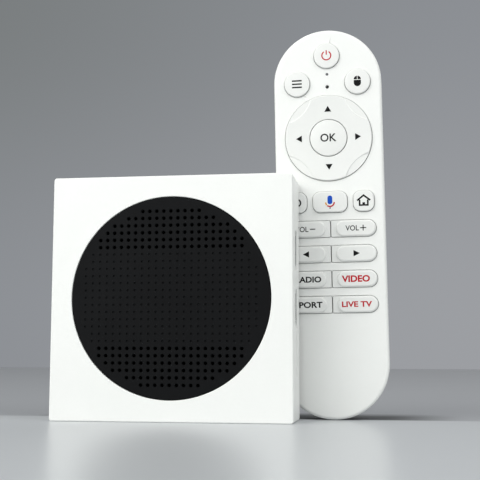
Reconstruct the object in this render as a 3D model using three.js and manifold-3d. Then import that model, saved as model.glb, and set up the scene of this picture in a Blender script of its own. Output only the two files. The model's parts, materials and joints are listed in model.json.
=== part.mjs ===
// A streaming media player with its remote control, in millimetres, +Z up.
//
// The player stands on its lower edge with its round vent facing -Y, and the
// origin is the middle of that edge. The remote stands upright just behind the
// player's right-hand side and leans a little. The remote is built in a frame of
// its own: x across, z up from its lower end, y inwards from its front face.
import * as THREE from 'three';
import { mergeVertices } from 'three/addons/utils/BufferGeometryUtils.js';
import Module from 'manifold-3d';

const wasm = await Module();
wasm.setup();

// ---- driving dimensions: player ----------------------------------------------
const side = 102;
const depth = 25;
const cornerRadius = 1.6;
const edgeRadius = 0.8;
const wall = 2.0;
const gap = 0.3;

const frontY = -depth / 2;
const backY = depth / 2;
const midZ = side / 2;

// How many straight sides stand for a large, a middling and a small circle.
const largeSides = 48;
const middleSides = 20;
const smallSides = 12;

const frontWall = 2.2;
const innerY = frontY + frontWall;
const coverThickness = 1.6;
const coverY = backY - coverThickness;

const ventRadius = 42.15;
const ventClearance = 0.25;
const ventRecess = 0.1;
const ventThickness = 1.7;
const ledgeWidth = 2.2;
const ledgeDepth = 0.7;
const holePitch = 3.0;
const holeRadius = 0.72;
const holeSides = 6;
const firstVentRow = 7;
const ventRowReach = [10, 10, 9, 8, 6, 4];

const bossInset = 7;
const bossRadius = 3.2;
const pilotRadius = 1.4;
const screwHeadRadius = 2.4;
const screwHeadThickness = 1.0;
const screwShankRadius = 1.1;
const screwLength = 8;
const crossLength = 2.6;
const crossWidth = 0.6;
const footRadius = 4.5;
const footInset = 15;
const footProud = 1.0;
const footRecess = 0.6;
const coverSlots = 9;
const coverSlotPitch = 5.5;
const coverSlotLength = 40;
const coverSlotWidth = 1.6;

const bossOverlap = 0.5;
const ribLength = 5;
const ribDepth = 10;
const ribThickness = 1.4;
const ribOffset = 3;
const ribY = 2;
const overlap = 0.2;

const boardY = 4.2;
const boardThickness = 1.6;
const boardSide = 90;
const boardCorner = 10;
const windowX = 28;
const windowY = -1;
const windowWidth = 16;
const windowDepth = 5;

// ---- driving dimensions: remote ----------------------------------------------
const remoteX = 65.9;
const remoteY = 16.7;
const remoteZ = 0.05;
const remoteLean = THREE.MathUtils.degToRad(1.49);
const remoteTilt = THREE.MathUtils.degToRad(0.86);

const remoteWidth = 47;
const remoteLength = 169.8;
const remoteDepth = 18;
const remoteFrontEdge = 1.5;
const remoteBackEdge = 5;
const remoteWall = 1.6;
const remoteSideWall = 1.8;
const remoteSplit = 6.8;
const keyClearance = 0.28;
const keyProud = 1.15;
const keyInner = 2.0;
const roundKeyRadius = 5.55;
const okRadius = 8.0;
const padCentre = 121.55;
const ringRadius = 18.85;
const ringInner = 8.4;
const ringProud = 0.9;
const ringDeep = 1.6;
const ringSides = 40;
const pivotInner = 8.6;
const pivotOuter = 10.0;
const pivotNear = 2.05;
const pivotFar = 2.55;
const rowHeight = 7.2;
const rowReach = 19.5;
const rowGap = 0.4;
const rowLevels = [81.7, 70.8, 59.9, 49.0];
const doorWidth = 30;
const doorLow = 14;
const doorHigh = 67;
const doorCorner = 3;
const batteryRadius = 5.25;
const batteryLength = 43.4;
const batteryLow = 17.6;
const batteryY = 10.75;
const batteryOffset = 5.7;

// ---- finishes ----------------------------------------------------------------
function finish(color, roughness, metalness) {
  return new THREE.MeshStandardMaterial({ color, roughness, metalness });
}

const finishes = {
  whiteCase: finish(0xf6f7f3, 0.5, 0),
  darkGrille: finish(0x232426, 0.6, 0),
  whiteKey: finish(0xf8f9f6, 0.45, 0),
  coverPlastic: finish(0x2a2b2d, 0.6, 0),
  rubber: finish(0x1d1d1e, 0.9, 0),
  steel: finish(0xb9bcc0, 0.35, 1),
  aluminium: finish(0xc4c7ca, 0.4, 1),
  board: finish(0x1e5a3a, 0.5, 0),
  chip: finish(0x1b1b1c, 0.6, 0),
  silicone: finish(0x9a9da0, 0.7, 0),
  smokedLens: finish(0x3a3c3f, 0.2, 0),
  clearLens: finish(0xd9dde0, 0.2, 0),
  socketPlastic: finish(0x202123, 0.5, 0),
  spring: finish(0xc9ccd0, 0.3, 1),
  batterySleeve: finish(0x4a6a8c, 0.4, 0),
};

// ---- outlines (lists of points, anticlockwise) ---------------------------------
function arc(cx, cz, radius, from, to, steps) {
  const points = [];
  for (let step = 0; step <= steps; step += 1) {
    const angle = from + ((to - from) * step) / steps;
    points.push(new THREE.Vector2(cx + radius * Math.cos(angle), cz + radius * Math.sin(angle)));
  }
  return points;
}

function circle(cx, cz, radius, sides) {
  return arc(cx, cz, radius, 0, 2 * Math.PI, sides).slice(0, sides);
}

// A rectangle whose left and right corners may have different radii.
function roundedBox(cx, cz, width, height, leftRadius, rightRadius = leftRadius, steps = 3) {
  const quarter = Math.PI / 2;
  const right = cx + width / 2 - rightRadius;
  const left = cx - width / 2 + leftRadius;
  const rightRise = height / 2 - rightRadius;
  const leftRise = height / 2 - leftRadius;
  return [
    ...arc(right, cz - rightRise, rightRadius, -quarter, 0, steps),
    ...arc(right, cz + rightRise, rightRadius, 0, quarter, steps),
    ...arc(left, cz + leftRise, leftRadius, quarter, 2 * quarter, steps),
    ...arc(left, cz - leftRise, leftRadius, 2 * quarter, 3 * quarter, steps),
  ].filter((point, index, all) => index === 0 || point.distanceTo(all[index - 1]) > 1e-4);
}

function stadium(cx, width, low, high, steps) {
  const radius = width / 2;
  return [
    ...arc(cx, low + radius, radius, Math.PI, 2 * Math.PI, steps),
    ...arc(cx, high - radius, radius, 0, Math.PI, steps),
  ];
}

// ---- solids --------------------------------------------------------------------
// A plate whose outline is in x and z, between two depths.
function plate(outline, nearY, farY, holes = []) {
  const shape = new THREE.Shape(outline);
  shape.holes = holes.map((hole) => new THREE.Path(hole));
  const geometry = new THREE.ExtrudeGeometry(shape, { depth: farY - nearY, bevelEnabled: false });
  return geometry.rotateX(Math.PI / 2).translate(0, farY, 0);
}

// The same plate with its two outer edges rounded.
function softPlate(outline, nearY, farY, edge, segments) {
  const settings = {
    depth: farY - nearY - 2 * edge,
    bevelThickness: edge,
    bevelSize: edge,
    bevelOffset: -edge,
    bevelSegments: segments,
  };
  const geometry = new THREE.ExtrudeGeometry(new THREE.Shape(outline), settings);
  return geometry.rotateX(Math.PI / 2).translate(0, farY - edge, 0);
}

function block(width, deep, height, x, y, z) {
  return new THREE.BoxGeometry(width, deep, height).translate(x, y, z);
}

// A turned piece; its profile is [radius, height] pairs along its own axis.
function turned(profile, sides) {
  const points = profile.map(([radius, height]) => new THREE.Vector2(radius, height));
  return new THREE.LatheGeometry(points, sides);
}

function toSolid(geometry) {
  const bare = geometry.clone();
  bare.deleteAttribute('normal');
  bare.deleteAttribute('uv');
  const welded = mergeVertices(bare, 1e-4);
  const vertProperties = Float32Array.from(welded.attributes.position.array);
  const triVerts = Uint32Array.from(welded.index.array);
  return new wasm.Manifold(new wasm.Mesh({ numProp: 3, vertProperties, triVerts }));
}

function toGeometry(solid) {
  const mesh = solid.getMesh();
  const geometry = new THREE.BufferGeometry();
  geometry.setAttribute('position', new THREE.BufferAttribute(mesh.vertProperties, 3));
  geometry.setIndex(new THREE.BufferAttribute(mesh.triVerts, 1));
  geometry.computeVertexNormals();
  return geometry;
}

function join(...geometries) {
  return toGeometry(geometries.map(toSolid).reduce((whole, piece) => whole.add(piece)));
}

function cut(geometry, ...tools) {
  return toGeometry(tools.map(toSolid).reduce((left, tool) => left.subtract(tool), toSolid(geometry)));
}

function keep(geometry, region) {
  return toGeometry(toSolid(geometry).intersect(toSolid(region)));
}

function addPiece(group, name, geometry, material) {
  const mesh = new THREE.Mesh(geometry, material);
  mesh.name = name;
  group.add(mesh);
  return mesh;
}

// ---- player: sockets -------------------------------------------------------------
// Each socket opens towards +Z at z = 0, with its width along x and height along y.
function boxSocket({ width, height, length, mouth, mouthLength, tongue }) {
  const body = block(width, height, length, 0, 0, -length / 2);
  const reach = mouthLength + 1;
  const hollow = block(mouth[0], mouth[1], reach, 0, 0, 1 - reach / 2);
  const open = cut(body, hollow);
  if (!tongue) {
    return open;
  }
  const tongueLength = mouthLength;
  const rise = -1.5 - tongueLength / 2;
  return join(open, block(tongue[0], tongue[1], tongueLength, 0, tongue[2], rise));
}

function roundSocket({ body, length, collar, bore, boreLength, pin }) {
  const wide = block(body[0], body[1], length - 2, 0, 0, -2 - (length - 2) / 2);
  const barrel = turned([[0, -3], [collar, -3], [collar, 0], [0, 0]], middleSides).rotateX(Math.PI / 2);
  const drill = turned([[0, -boreLength], [bore, -boreLength], [bore, 1], [0, 1]], middleSides);
  const open = cut(join(wide, barrel), drill.rotateX(Math.PI / 2));
  if (!pin) {
    return open;
  }
  const rod = turned([[0, -boreLength - 1], [pin, -boreLength - 1], [pin, -1], [0, -1]], smallSides);
  return join(open, rod.rotateX(Math.PI / 2));
}

const socketMouth = 0.4;
const boardClearance = 0.25;
const innerCorner = 0.8;

const edgeSockets = [
  {
    name: 'power_jack',
    x: 33,
    rise: 9,
    geometry: () => roundSocket({ body: [9, 9], length: 13, collar: 4, bore: 3, boreLength: 9, pin: 1 }),
    opening: (x, y) => circle(x, y, 4.3, middleSides),
  },
  {
    name: 'hdmi_socket',
    x: 15,
    rise: 5.8,
    geometry: () => boxSocket({
      width: 15, height: 5.8, length: 11, mouth: [14, 4.6], mouthLength: 8.5, tongue: [11, 1.2, -0.4],
    }),
    opening: (x, y) => roundedBox(x, y, 16.2, 7, 1),
  },
  {
    name: 'network_socket',
    x: -7,
    rise: 13.4,
    geometry: () => boxSocket({
      width: 16, height: 13.4, length: 16, mouth: [11.8, 8.2], mouthLength: 13,
    }),
    opening: (x, y) => roundedBox(x, y, 16.8, 13.9, 0.6),
  },
  {
    name: 'audio_jack',
    x: -30,
    rise: 7,
    geometry: () => roundSocket({ body: [7, 7], length: 12, collar: 3, bore: 1.8, boreLength: 10 }),
    opening: (x, y) => circle(x, y, 3.3, middleSides),
  },
];

const usbShape = {
  width: 13.2, height: 5.9, length: 14, mouth: [12.2, 4.9], mouthLength: 11, tongue: [11, 1.8, -0.9],
};
const cardShape = { width: 15, height: 1.9, length: 14, mouth: [11.4, 0.9], mouthLength: 12 };
const sideSockets = [
  { name: 'usb_socket_upper', z: 71.2, shape: usbShape, cutout: [16.4, 6.8, 2.2] },
  { name: 'usb_socket_lower', z: 46.8, shape: usbShape, cutout: [16.4, 6.8, 2.2] },
  { name: 'card_socket', z: 27.8, shape: cardShape, cutout: [19.4, 2.8, 1.2] },
];

function socketY(height) {
  return boardY - boardClearance - height / 2;
}

// ---- player: case ----------------------------------------------------------------
function cornerPlaces(inset) {
  const reach = side / 2 - inset;
  return [
    [-reach, inset],
    [reach, inset],
    [reach, side - inset],
    [-reach, side - inset],
  ];
}

// A cutter that goes 3 deep into the wall below z = 0 and stands 1 out of it.
function wallCutter(outline) {
  const settings = { depth: 4, bevelEnabled: false };
  return new THREE.ExtrudeGeometry(new THREE.Shape(outline), settings).translate(0, 0, -3);
}

function makeHousing() {
  const outline = roundedBox(0, midZ, side, side, cornerRadius);
  const outer = softPlate(outline, frontY, 2 * backY, edgeRadius, 2);
  const trimmed = keep(outer, block(2 * side, depth, 2 * side, 0, 0, midZ));
  const inside = side - 2 * wall;
  const hollow = plate(roundedBox(0, midZ, inside, inside, innerCorner), innerY, backY + 1);
  const opening = plate(circle(0, midZ, ventRadius, largeSides), frontY - 1, innerY + 1);
  const shell = cut(trimmed, hollow, opening);
  const ledge = plate(
    circle(0, midZ, ventRadius + wall, largeSides),
    innerY - overlap,
    innerY + ledgeDepth,
    [circle(0, midZ, ventRadius - ledgeWidth, largeSides)],
  );
  const seat = plate(circle(0, midZ, ventRadius, largeSides), frontY - 1, innerY);
  const seated = cut(join(shell, ledge), seat);

  const corners = cornerPlaces(bossInset);
  const bosses = corners.map(([x, z]) => {
    const round = circle(x, z, bossRadius, smallSides);
    return plate(round, innerY - bossOverlap, coverY - gap);
  });
  const ribs = corners.map(([x, z]) => {
    const middle = x + Math.sign(x) * ribOffset;
    return block(ribLength, ribDepth, ribThickness, middle, ribY, z);
  });
  const pilots = corners.map(([x, z]) => plate(circle(x, z, pilotRadius, smallSides), 0, backY));
  const braced = cut(join(seated, ...bosses, ...ribs), ...pilots);

  const topCuts = edgeSockets.map(({ x, rise, opening: shape }) => {
    const tool = wallCutter(shape(x, socketY(rise)));
    return tool.translate(0, 0, side);
  });
  const sideCuts = sideSockets.map(({ z, shape, cutout: [long, wide, radius] }) => {
    const tool = wallCutter(roundedBox(-z, socketY(shape.height), long, wide, radius));
    return tool.translate(0, 0, side / 2).rotateY(Math.PI / 2);
  });
  const windowCut = block(windowWidth + 2 * gap, windowDepth + 2 * gap, 4, windowX, windowY, 1);
  return cut(braced, ...topCuts, ...sideCuts, windowCut);
}

function makeVentDisc() {
  const holes = [];
  ventRowReach.forEach((reach, index) => {
    const row = firstVentRow + index;
    for (let column = -reach; column <= reach; column += 1) {
      for (const direction of [-1, 1]) {
        holes.push(circle(column * holePitch, midZ + direction * row * holePitch, holeRadius, holeSides));
      }
    }
  });
  const nearY = frontY + ventRecess;
  return plate(circle(0, midZ, ventRadius - ventClearance, largeSides), nearY, nearY + ventThickness, holes);
}

function makeBackCover() {
  const inside = side - 2 * wall - 2 * gap;
  const slots = [];
  for (let index = 0; index < coverSlots; index += 1) {
    const z = midZ + (index - (coverSlots - 1) / 2) * coverSlotPitch;
    const end = coverSlotWidth / 2;
    slots.push(roundedBox(0, z, coverSlotLength, coverSlotWidth, end, end, 2));
  }
  const cover = plate(roundedBox(0, midZ, inside, inside, innerCorner), coverY, backY, slots);
  const seats = cornerPlaces(bossInset).flatMap(([x, z]) => [
    plate(circle(x, z, screwHeadRadius + gap, smallSides), backY - screwHeadThickness, backY + 1),
    plate(circle(x, z, pilotRadius, smallSides), coverY - 1, backY),
  ]);
  const footSeats = cornerPlaces(footInset).map(([x, z]) => {
    const round = circle(x, z, footRadius + gap, middleSides);
    return plate(round, backY - footRecess, backY + 1);
  });
  return cut(cover, ...seats, ...footSeats);
}

function makeScrew() {
  const headFar = screwHeadThickness - 0.15;
  const socketDepth = 0.6;
  const profile = [
    [0, -screwLength],
    [screwShankRadius, -screwLength + 0.6],
    [screwShankRadius, 0.05],
    [screwHeadRadius, 0.05],
    [screwHeadRadius, headFar - 0.3],
    [screwHeadRadius - 0.5, headFar],
    [0, headFar],
  ];
  const body = turned(profile, smallSides);
  const crossY = headFar + 0.5 - socketDepth;
  const arms = [
    block(crossLength, 1, crossWidth, 0, crossY, 0),
    block(crossWidth, 1, crossLength, 0, crossY, 0),
  ];
  return cut(body, ...arms);
}

const player = new THREE.Group();
addPiece(player, 'housing', makeHousing(), finishes.whiteCase);
addPiece(player, 'vent_disc', makeVentDisc(), finishes.darkGrille);
addPiece(player, 'back_cover', makeBackCover(), finishes.coverPlastic);
cornerPlaces(bossInset).forEach(([x, z], index) => {
  const screw = addPiece(player, `cover_screw_${index + 1}`, makeScrew(), finishes.steel);
  screw.position.set(x, backY - screwHeadThickness, z);
});
cornerPlaces(footInset).forEach(([x, z], index) => {
  const near = backY - footRecess + 0.05;
  const foot = plate(circle(x, z, footRadius, middleSides), near, backY + footProud);
  addPiece(player, `rubber_foot_${index + 1}`, foot, finishes.rubber);
});

// ---- player: inside ----------------------------------------------------------------
function makeMainBoard() {
  const half = boardSide / 2;
  const low = midZ - half;
  const high = midZ + half;
  const outline = [
    [-half + boardCorner, low],
    [half - boardCorner, low],
    [half, low + boardCorner],
    [half, high - boardCorner],
    [half - boardCorner, high],
    [-half + boardCorner, high],
    [-half, high - boardCorner],
    [-half, low + boardCorner],
  ].map(([x, z]) => new THREE.Vector2(x, z));
  return plate(outline, boardY, boardY + boardThickness);
}

// A chip or module on the front of the main board.
function onBoard(width, height, thickness, x, z, lift = 0.05) {
  return block(width, thickness, height, x, boardY - lift - thickness / 2, z);
}

const chipThickness = 1.4;
const padThickness = 0.8;
const sinkX = -2;
const sinkSide = 40;
const sinkBase = 2;
const finHeight = 4.4;
const finThickness = 1.2;
const finCount = 8;

function makeHeatSink() {
  const nearest = boardY - chipThickness - padThickness - 0.15;
  const pieces = [block(sinkSide, sinkBase, sinkSide, sinkX, nearest - sinkBase / 2, midZ)];
  const pitch = (sinkSide - finThickness) / (finCount - 1);
  for (let index = 0; index < finCount; index += 1) {
    const x = sinkX - sinkSide / 2 + finThickness / 2 + index * pitch;
    const tall = finHeight + 0.5;
    pieces.push(block(finThickness, tall, sinkSide, x, nearest - sinkBase - finHeight / 2 + 0.25, midZ));
  }
  return join(...pieces);
}

const chipSide = 17;
const chipHeight = 1.1;
const boardParts = [
  {
    name: 'processor',
    size: [chipSide, chipSide, chipThickness],
    at: [sinkX, midZ],
    material: finishes.chip,
  },
  { name: 'memory_chip_1', size: [9, 12, chipHeight], at: [27, 60], material: finishes.chip },
  { name: 'memory_chip_2', size: [9, 12, chipHeight], at: [27, 41], material: finishes.chip },
  { name: 'storage_chip', size: [12, 14, 1.0], at: [-32, 56], material: finishes.chip },
  { name: 'wireless_module', size: [15, 13, 2.2], at: [-33, 28], material: finishes.steel },
  { name: 'infrared_receiver', size: [6, 5, 5], at: [windowX + 3, 9.5], material: finishes.chip },
  { name: 'status_light', size: [2, 3, 2], at: [windowX - 4, 8.5], material: finishes.clearLens },
];

addPiece(player, 'main_board', makeMainBoard(), finishes.board);
boardParts.forEach(({ name, size: [width, height, thickness], at: [x, z], material }) => {
  addPiece(player, name, onBoard(width, height, thickness, x, z), material);
});
const thermalPad = onBoard(chipSide - 1, chipSide - 1, padThickness, sinkX, midZ, chipThickness + 0.1);
addPiece(player, 'thermal_pad', thermalPad, finishes.silicone);
addPiece(player, 'heat_sink', makeHeatSink(), finishes.aluminium);

// Two spring-steel aerials stand just inside the left wall and the lower wall.
const aerialLength = 34;
const aerialWidth = 9;
const aerialThickness = 0.5;
const aerialY = -2;
const aerialLeft = block(aerialThickness, aerialWidth, aerialLength, -48.6, aerialY, 58);
const aerialLower = block(aerialLength, aerialWidth, aerialThickness, -26, aerialY, 2.5);
addPiece(player, 'antenna_left', aerialLeft, finishes.aluminium);
addPiece(player, 'antenna_lower', aerialLower, finishes.aluminium);

const windowThickness = 1.7;
const windowZ = 1.05;
const window = block(windowWidth, windowDepth, windowThickness, windowX, windowY, windowZ);
addPiece(player, 'infrared_window', window, finishes.smokedLens);

edgeSockets.forEach(({ name, x, rise, geometry }) => {
  const socket = addPiece(player, name, geometry(), finishes.socketPlastic);
  socket.position.set(x, socketY(rise), side - socketMouth);
});
sideSockets.forEach(({ name, z, shape }) => {
  const socket = addPiece(player, name, boxSocket(shape), finishes.steel);
  socket.rotation.set(0, Math.PI / 2, 0);
  socket.position.set(side / 2 - socketMouth, socketY(shape.height), z);
});

// ---- remote: keys --------------------------------------------------------------------
const roundKeys = [
  { name: 'key_power', x: 0, z: 158.0, radius: roundKeyRadius },
  { name: 'key_menu', x: -13.2, z: 145.9, radius: roundKeyRadius },
  { name: 'key_pointer', x: 13.2, z: 145.9, radius: roundKeyRadius },
  { name: 'key_ok', x: 0, z: padCentre, radius: okRadius },
];
const middleKeys = [
  { name: 'key_back', x: -14.5, width: 8.9, radius: 3.2 },
  { name: 'key_voice', x: 0, width: 14.8, radius: 3.1 },
  { name: 'key_home', x: 14.5, width: 8.9, radius: 3.2 },
];
const middleLevel = 93.4;
const middleHeight = 9.0;
const rowNames = [
  ['key_volume_down', 'key_volume_up'],
  ['key_previous', 'key_next'],
  ['key_app_1', 'key_app_2'],
  ['key_app_3', 'key_app_4'],
];

// The outline of each key, grown on every side by the given amount.
function keyOutlines(grow) {
  const outlines = [];
  roundKeys.forEach(({ name, x, z, radius }) => {
    outlines.push({ name, outline: circle(x, z, radius + grow, middleSides) });
  });
  middleKeys.forEach(({ name, x, width, radius }) => {
    const outline = roundedBox(x, middleLevel, width + 2 * grow, middleHeight + 2 * grow, radius + grow);
    outlines.push({ name, outline });
  });
  rowNames.forEach((pair, row) => {
    const width = rowReach - rowGap / 2;
    const outer = rowHeight / 2 - 0.02 + grow;
    const inner = 0.5 + grow;
    const centre = rowGap / 2 + width / 2;
    const wide = width + 2 * grow;
    const tall = rowHeight + 2 * grow;
    const z = rowLevels[row];
    outlines.push({ name: pair[0], outline: roundedBox(-centre, z, wide, tall, outer, inner) });
    outlines.push({ name: pair[1], outline: roundedBox(centre, z, wide, tall, inner, outer) });
  });
  return outlines;
}

// ---- remote: case --------------------------------------------------------------------
const lampLevel = 149.9;
const lampHole = 0.9;
const soundHoleLevel = 144.3;
const soundHoleRadius = 0.8;
const shellSteps = 16;

function remoteOutline(inset) {
  return stadium(0, remoteWidth - 2 * inset, inset, remoteLength - inset, shellSteps);
}

// All that lies between two depths of the remote.
function slab(nearY, farY) {
  const middle = (nearY + farY) / 2;
  return block(2 * remoteWidth, farY - nearY, 2 * remoteLength, 0, middle, remoteLength / 2);
}

function makeFrontShell() {
  const whole = softPlate(remoteOutline(0), 0, remoteDepth, remoteFrontEdge, 2);
  const body = keep(whole, slab(-1, remoteSplit));
  const hollow = plate(remoteOutline(remoteSideWall), remoteWall, remoteDepth);
  const outlines = keyOutlines(keyClearance)
    .filter(({ name }) => name !== 'key_ok')
    .map(({ outline }) => outline);
  outlines.push(circle(0, padCentre, ringRadius + gap, ringSides));
  outlines.push(circle(0, lampLevel, lampHole, smallSides));
  outlines.push(circle(0, soundHoleLevel, soundHoleRadius, smallSides));
  const openings = outlines.map((outline) => plate(outline, -1, keyInner + 2));
  return cut(body, hollow, ...openings);
}

const emitterY = 9.6;
const emitterRadius = 1.5;
const ledgeInset = 2.6;
const frameMargin = 2.5;
const endWallWidth = 24;
const endWallThickness = 1.2;
const doorMid = (doorLow + doorHigh) / 2;
const doorTall = doorHigh - doorLow;

function makeBackShell() {
  const whole = softPlate(remoteOutline(0), -remoteBackEdge, remoteDepth, remoteBackEdge, 3);
  const body = keep(whole, slab(remoteSplit + gap, remoteDepth + 1));
  const inner = remoteDepth - remoteWall;
  const hollowEdge = remoteBackEdge - remoteWall;
  const hollow = softPlate(remoteOutline(remoteSideWall), -remoteBackEdge, inner, hollowEdge, 3);
  const shell = cut(body, hollow);

  const frameWidth = doorWidth + 2 * frameMargin;
  const frameTall = doorTall + 2 * frameMargin;
  const frameOutline = roundedBox(0, doorMid, frameWidth, frameTall, doorCorner + 1);
  const frame = plate(frameOutline, inner - 1.4, inner + 0.4);
  const endWallDepth = inner - remoteSplit - 1.2;
  const endWallY = (inner + remoteSplit) / 2 + 0.1;
  const endWalls = [doorLow - 0.4, doorHigh - 0.6].map((z) => (
    block(endWallWidth, endWallDepth, endWallThickness, 0, endWallY, z)
  ));
  const pocketWidth = doorWidth + 2 * gap;
  const pocketTall = doorTall + 2 * gap;
  const pocketOutline = roundedBox(0, doorMid, pocketWidth, pocketTall, doorCorner + gap);
  const pocket = plate(pocketOutline, inner - gap, remoteDepth + 2);
  const reach = roundedBox(0, doorMid, doorWidth - 2 * ledgeInset, doorTall - 4, 1);
  const throat = plate(reach, inner - 3, inner + 1);
  const holeRadiusTop = emitterRadius + 0.4;
  const emitterHole = new THREE.CylinderGeometry(holeRadiusTop, holeRadiusTop, 8, smallSides);
  emitterHole.rotateX(Math.PI / 2).translate(0, emitterY, remoteLength);
  const framed = cut(join(shell, frame), pocket, throat);
  return cut(join(framed, ...endWalls), emitterHole);
}

function makeBatteryDoor() {
  const inner = remoteDepth - remoteWall;
  const panel = plate(roundedBox(0, doorMid, doorWidth, doorTall, doorCorner), inner, remoteDepth);
  const notch = plate(roundedBox(0, doorHigh - 4, 12, 3, 1.5), remoteDepth - 0.7, remoteDepth + 1);
  return cut(panel, notch);
}

// One cell, standing on z = 0 with its raised end up.
function makeBattery() {
  const shoulder = batteryLength - 0.8;
  const profile = [
    [0, 0],
    [batteryRadius - 0.4, 0],
    [batteryRadius, 0.4],
    [batteryRadius, shoulder - 0.4],
    [batteryRadius - 0.4, shoulder],
    [1.9, shoulder],
    [1.9, batteryLength],
    [0, batteryLength],
  ];
  return turned(profile, 16).rotateX(Math.PI / 2);
}

class ConeSpring extends THREE.Curve {
  constructor(turns, lowRadius, highRadius, length) {
    super();
    Object.assign(this, { turns, lowRadius, highRadius, length });
  }

  getPoint(t, target = new THREE.Vector3()) {
    const angle = 2 * Math.PI * this.turns * t;
    const radius = this.lowRadius + (this.highRadius - this.lowRadius) * t;
    return target.set(radius * Math.cos(angle), radius * Math.sin(angle), this.length * t);
  }
}

// A contact plate lying at z = 0, with a spring at +x and a raised button at -x.
function makeContact() {
  const spring = new THREE.ExtrudeGeometry(new THREE.Shape(circle(0, 0, 0.3, 4)), {
    steps: 20,
    bevelEnabled: false,
    extrudePath: new ConeSpring(2.5, 3.2, 1.6, 2.0),
  });
  const button = new THREE.CylinderGeometry(1.6, 2.2, 0.6, smallSides);
  return join(
    block(22, 7.6, 0.4, 0, 0, 0),
    spring.translate(batteryOffset, 0, 0.1),
    button.rotateX(Math.PI / 2).translate(-batteryOffset, 0, 0.4),
  );
}

// The direction ring, a flat annulus round the OK key.
function makeDirectionRing() {
  const outer = circle(0, padCentre, ringRadius, ringSides);
  const inner = circle(0, padCentre, ringInner, middleSides);
  return plate(outer, -ringProud, ringDeep, [inner]);
}

const remote = new THREE.Group();
remote.position.set(remoteX, remoteY, remoteZ);
remote.rotation.set(remoteLean, -remoteTilt, 0);
addPiece(remote, 'remote_front_shell', makeFrontShell(), finishes.whiteCase);
addPiece(remote, 'remote_back_shell', makeBackShell(), finishes.whiteCase);
addPiece(remote, 'battery_door', makeBatteryDoor(), finishes.whiteCase);
keyOutlines(0).forEach(({ name, outline }) => {
  addPiece(remote, name, plate(outline, -keyProud, keyInner), finishes.whiteKey);
});
addPiece(remote, 'direction_ring', makeDirectionRing(), finishes.whiteKey);
const pivotRing = plate(
  circle(0, padCentre, pivotOuter, middleSides),
  pivotNear,
  pivotFar,
  [circle(0, padCentre, pivotInner, middleSides)],
);
addPiece(remote, 'direction_pivot', pivotRing, finishes.silicone);

const boardOutline = roundedBox(0, 98, 40, 132, 18, 18, 5);
addPiece(remote, 'key_pad', plate(boardOutline, 3.3, 3.9), finishes.silicone);
addPiece(remote, 'remote_board', plate(boardOutline, 4.2, 5.2), finishes.board);

const lens = new THREE.CylinderGeometry(0.6, 0.6, 2.4, smallSides).translate(0, 1.3, lampLevel);
addPiece(remote, 'indicator_lens', lens, finishes.clearLens);

const emitter = turned([[0, 0], [emitterRadius, 0], [emitterRadius, 4], [1, 5.2], [0, 5.6]], smallSides);
emitter.rotateX(Math.PI / 2).translate(0, emitterY, remoteLength - 6);
addPiece(remote, 'infrared_emitter', emitter, finishes.smokedLens);

const cellUp = addPiece(remote, 'battery_1', makeBattery(), finishes.batterySleeve);
cellUp.position.set(-batteryOffset, batteryY, batteryLow);
const cellDown = addPiece(remote, 'battery_2', makeBattery(), finishes.batterySleeve);
cellDown.rotation.set(Math.PI, 0, 0);
cellDown.position.set(batteryOffset, batteryY, batteryLow + batteryLength);

const contactLow = addPiece(remote, 'battery_contact_lower', makeContact(), finishes.spring);
contactLow.rotation.set(0, 0, Math.PI);
contactLow.position.set(0, batteryY, doorLow + 1);
const contactHigh = addPiece(remote, 'battery_contact_upper', makeContact(), finishes.spring);
contactHigh.rotation.set(Math.PI, 0, 0);
contactHigh.position.set(0, batteryY, doorHigh - 2);

const group = new THREE.Group();
group.add(player, remote);
export default group;
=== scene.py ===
"""The looks of a streaming media player and of the remote control that stands behind it.

Each piece is modelled in millimetres, with x across, y in depth and z up, and is brought
to metres and to its own place when it is settled. The player is modelled where it stands.
The remote is modelled upright, with its front face at y = 0 and its lower end at z = 0.
"""
import json
import logging
import math
from contextlib import AbstractContextManager, contextmanager
from dataclasses import dataclass, field
from enum import Enum
from typing import Callable, Iterator, Sequence

import bpy
from mathutils import Matrix, Vector


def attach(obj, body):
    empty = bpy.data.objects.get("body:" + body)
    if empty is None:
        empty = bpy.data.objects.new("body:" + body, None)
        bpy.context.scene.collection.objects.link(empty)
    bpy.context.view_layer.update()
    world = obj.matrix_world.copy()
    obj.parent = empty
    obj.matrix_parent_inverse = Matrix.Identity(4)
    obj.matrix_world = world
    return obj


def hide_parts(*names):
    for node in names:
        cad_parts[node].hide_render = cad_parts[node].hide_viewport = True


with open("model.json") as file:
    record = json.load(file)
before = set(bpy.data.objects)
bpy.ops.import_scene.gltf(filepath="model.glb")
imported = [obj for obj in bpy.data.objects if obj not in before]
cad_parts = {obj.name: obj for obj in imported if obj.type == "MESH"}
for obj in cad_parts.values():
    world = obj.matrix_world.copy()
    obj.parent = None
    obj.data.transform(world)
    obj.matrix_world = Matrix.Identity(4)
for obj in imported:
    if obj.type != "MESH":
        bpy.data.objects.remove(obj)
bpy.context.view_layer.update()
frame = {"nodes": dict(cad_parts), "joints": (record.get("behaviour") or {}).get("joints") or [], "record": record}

log = logging.getLogger("media_player")

MILLIMETRE = 0.001
Colour = tuple[float, float, float]
Place = tuple[float, float]
PointTest = Callable[[Vector], bool]
EdgeTest = Callable[[Vector, Vector], bool]
FaceTest = Callable[[Vector, Vector], bool]


# ---------------------------------------------------------------- shaping by hand
class Domain(Enum):
    """What a selection is made of, and its place among the three selection modes."""

    VERTICES = 0
    EDGES = 1
    FACES = 2


class Axis(Enum):
    """The way a socket or a cutter points once it is turned from facing -y."""

    RIGHT = (-math.pi / 2, math.pi / 2, 0.0)
    UP = (-math.pi / 2, 0.0, 0.0)
    BACK = (0.0, 0.0, math.pi)
    DOWN = (math.pi / 2, 0.0, 0.0)


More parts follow.
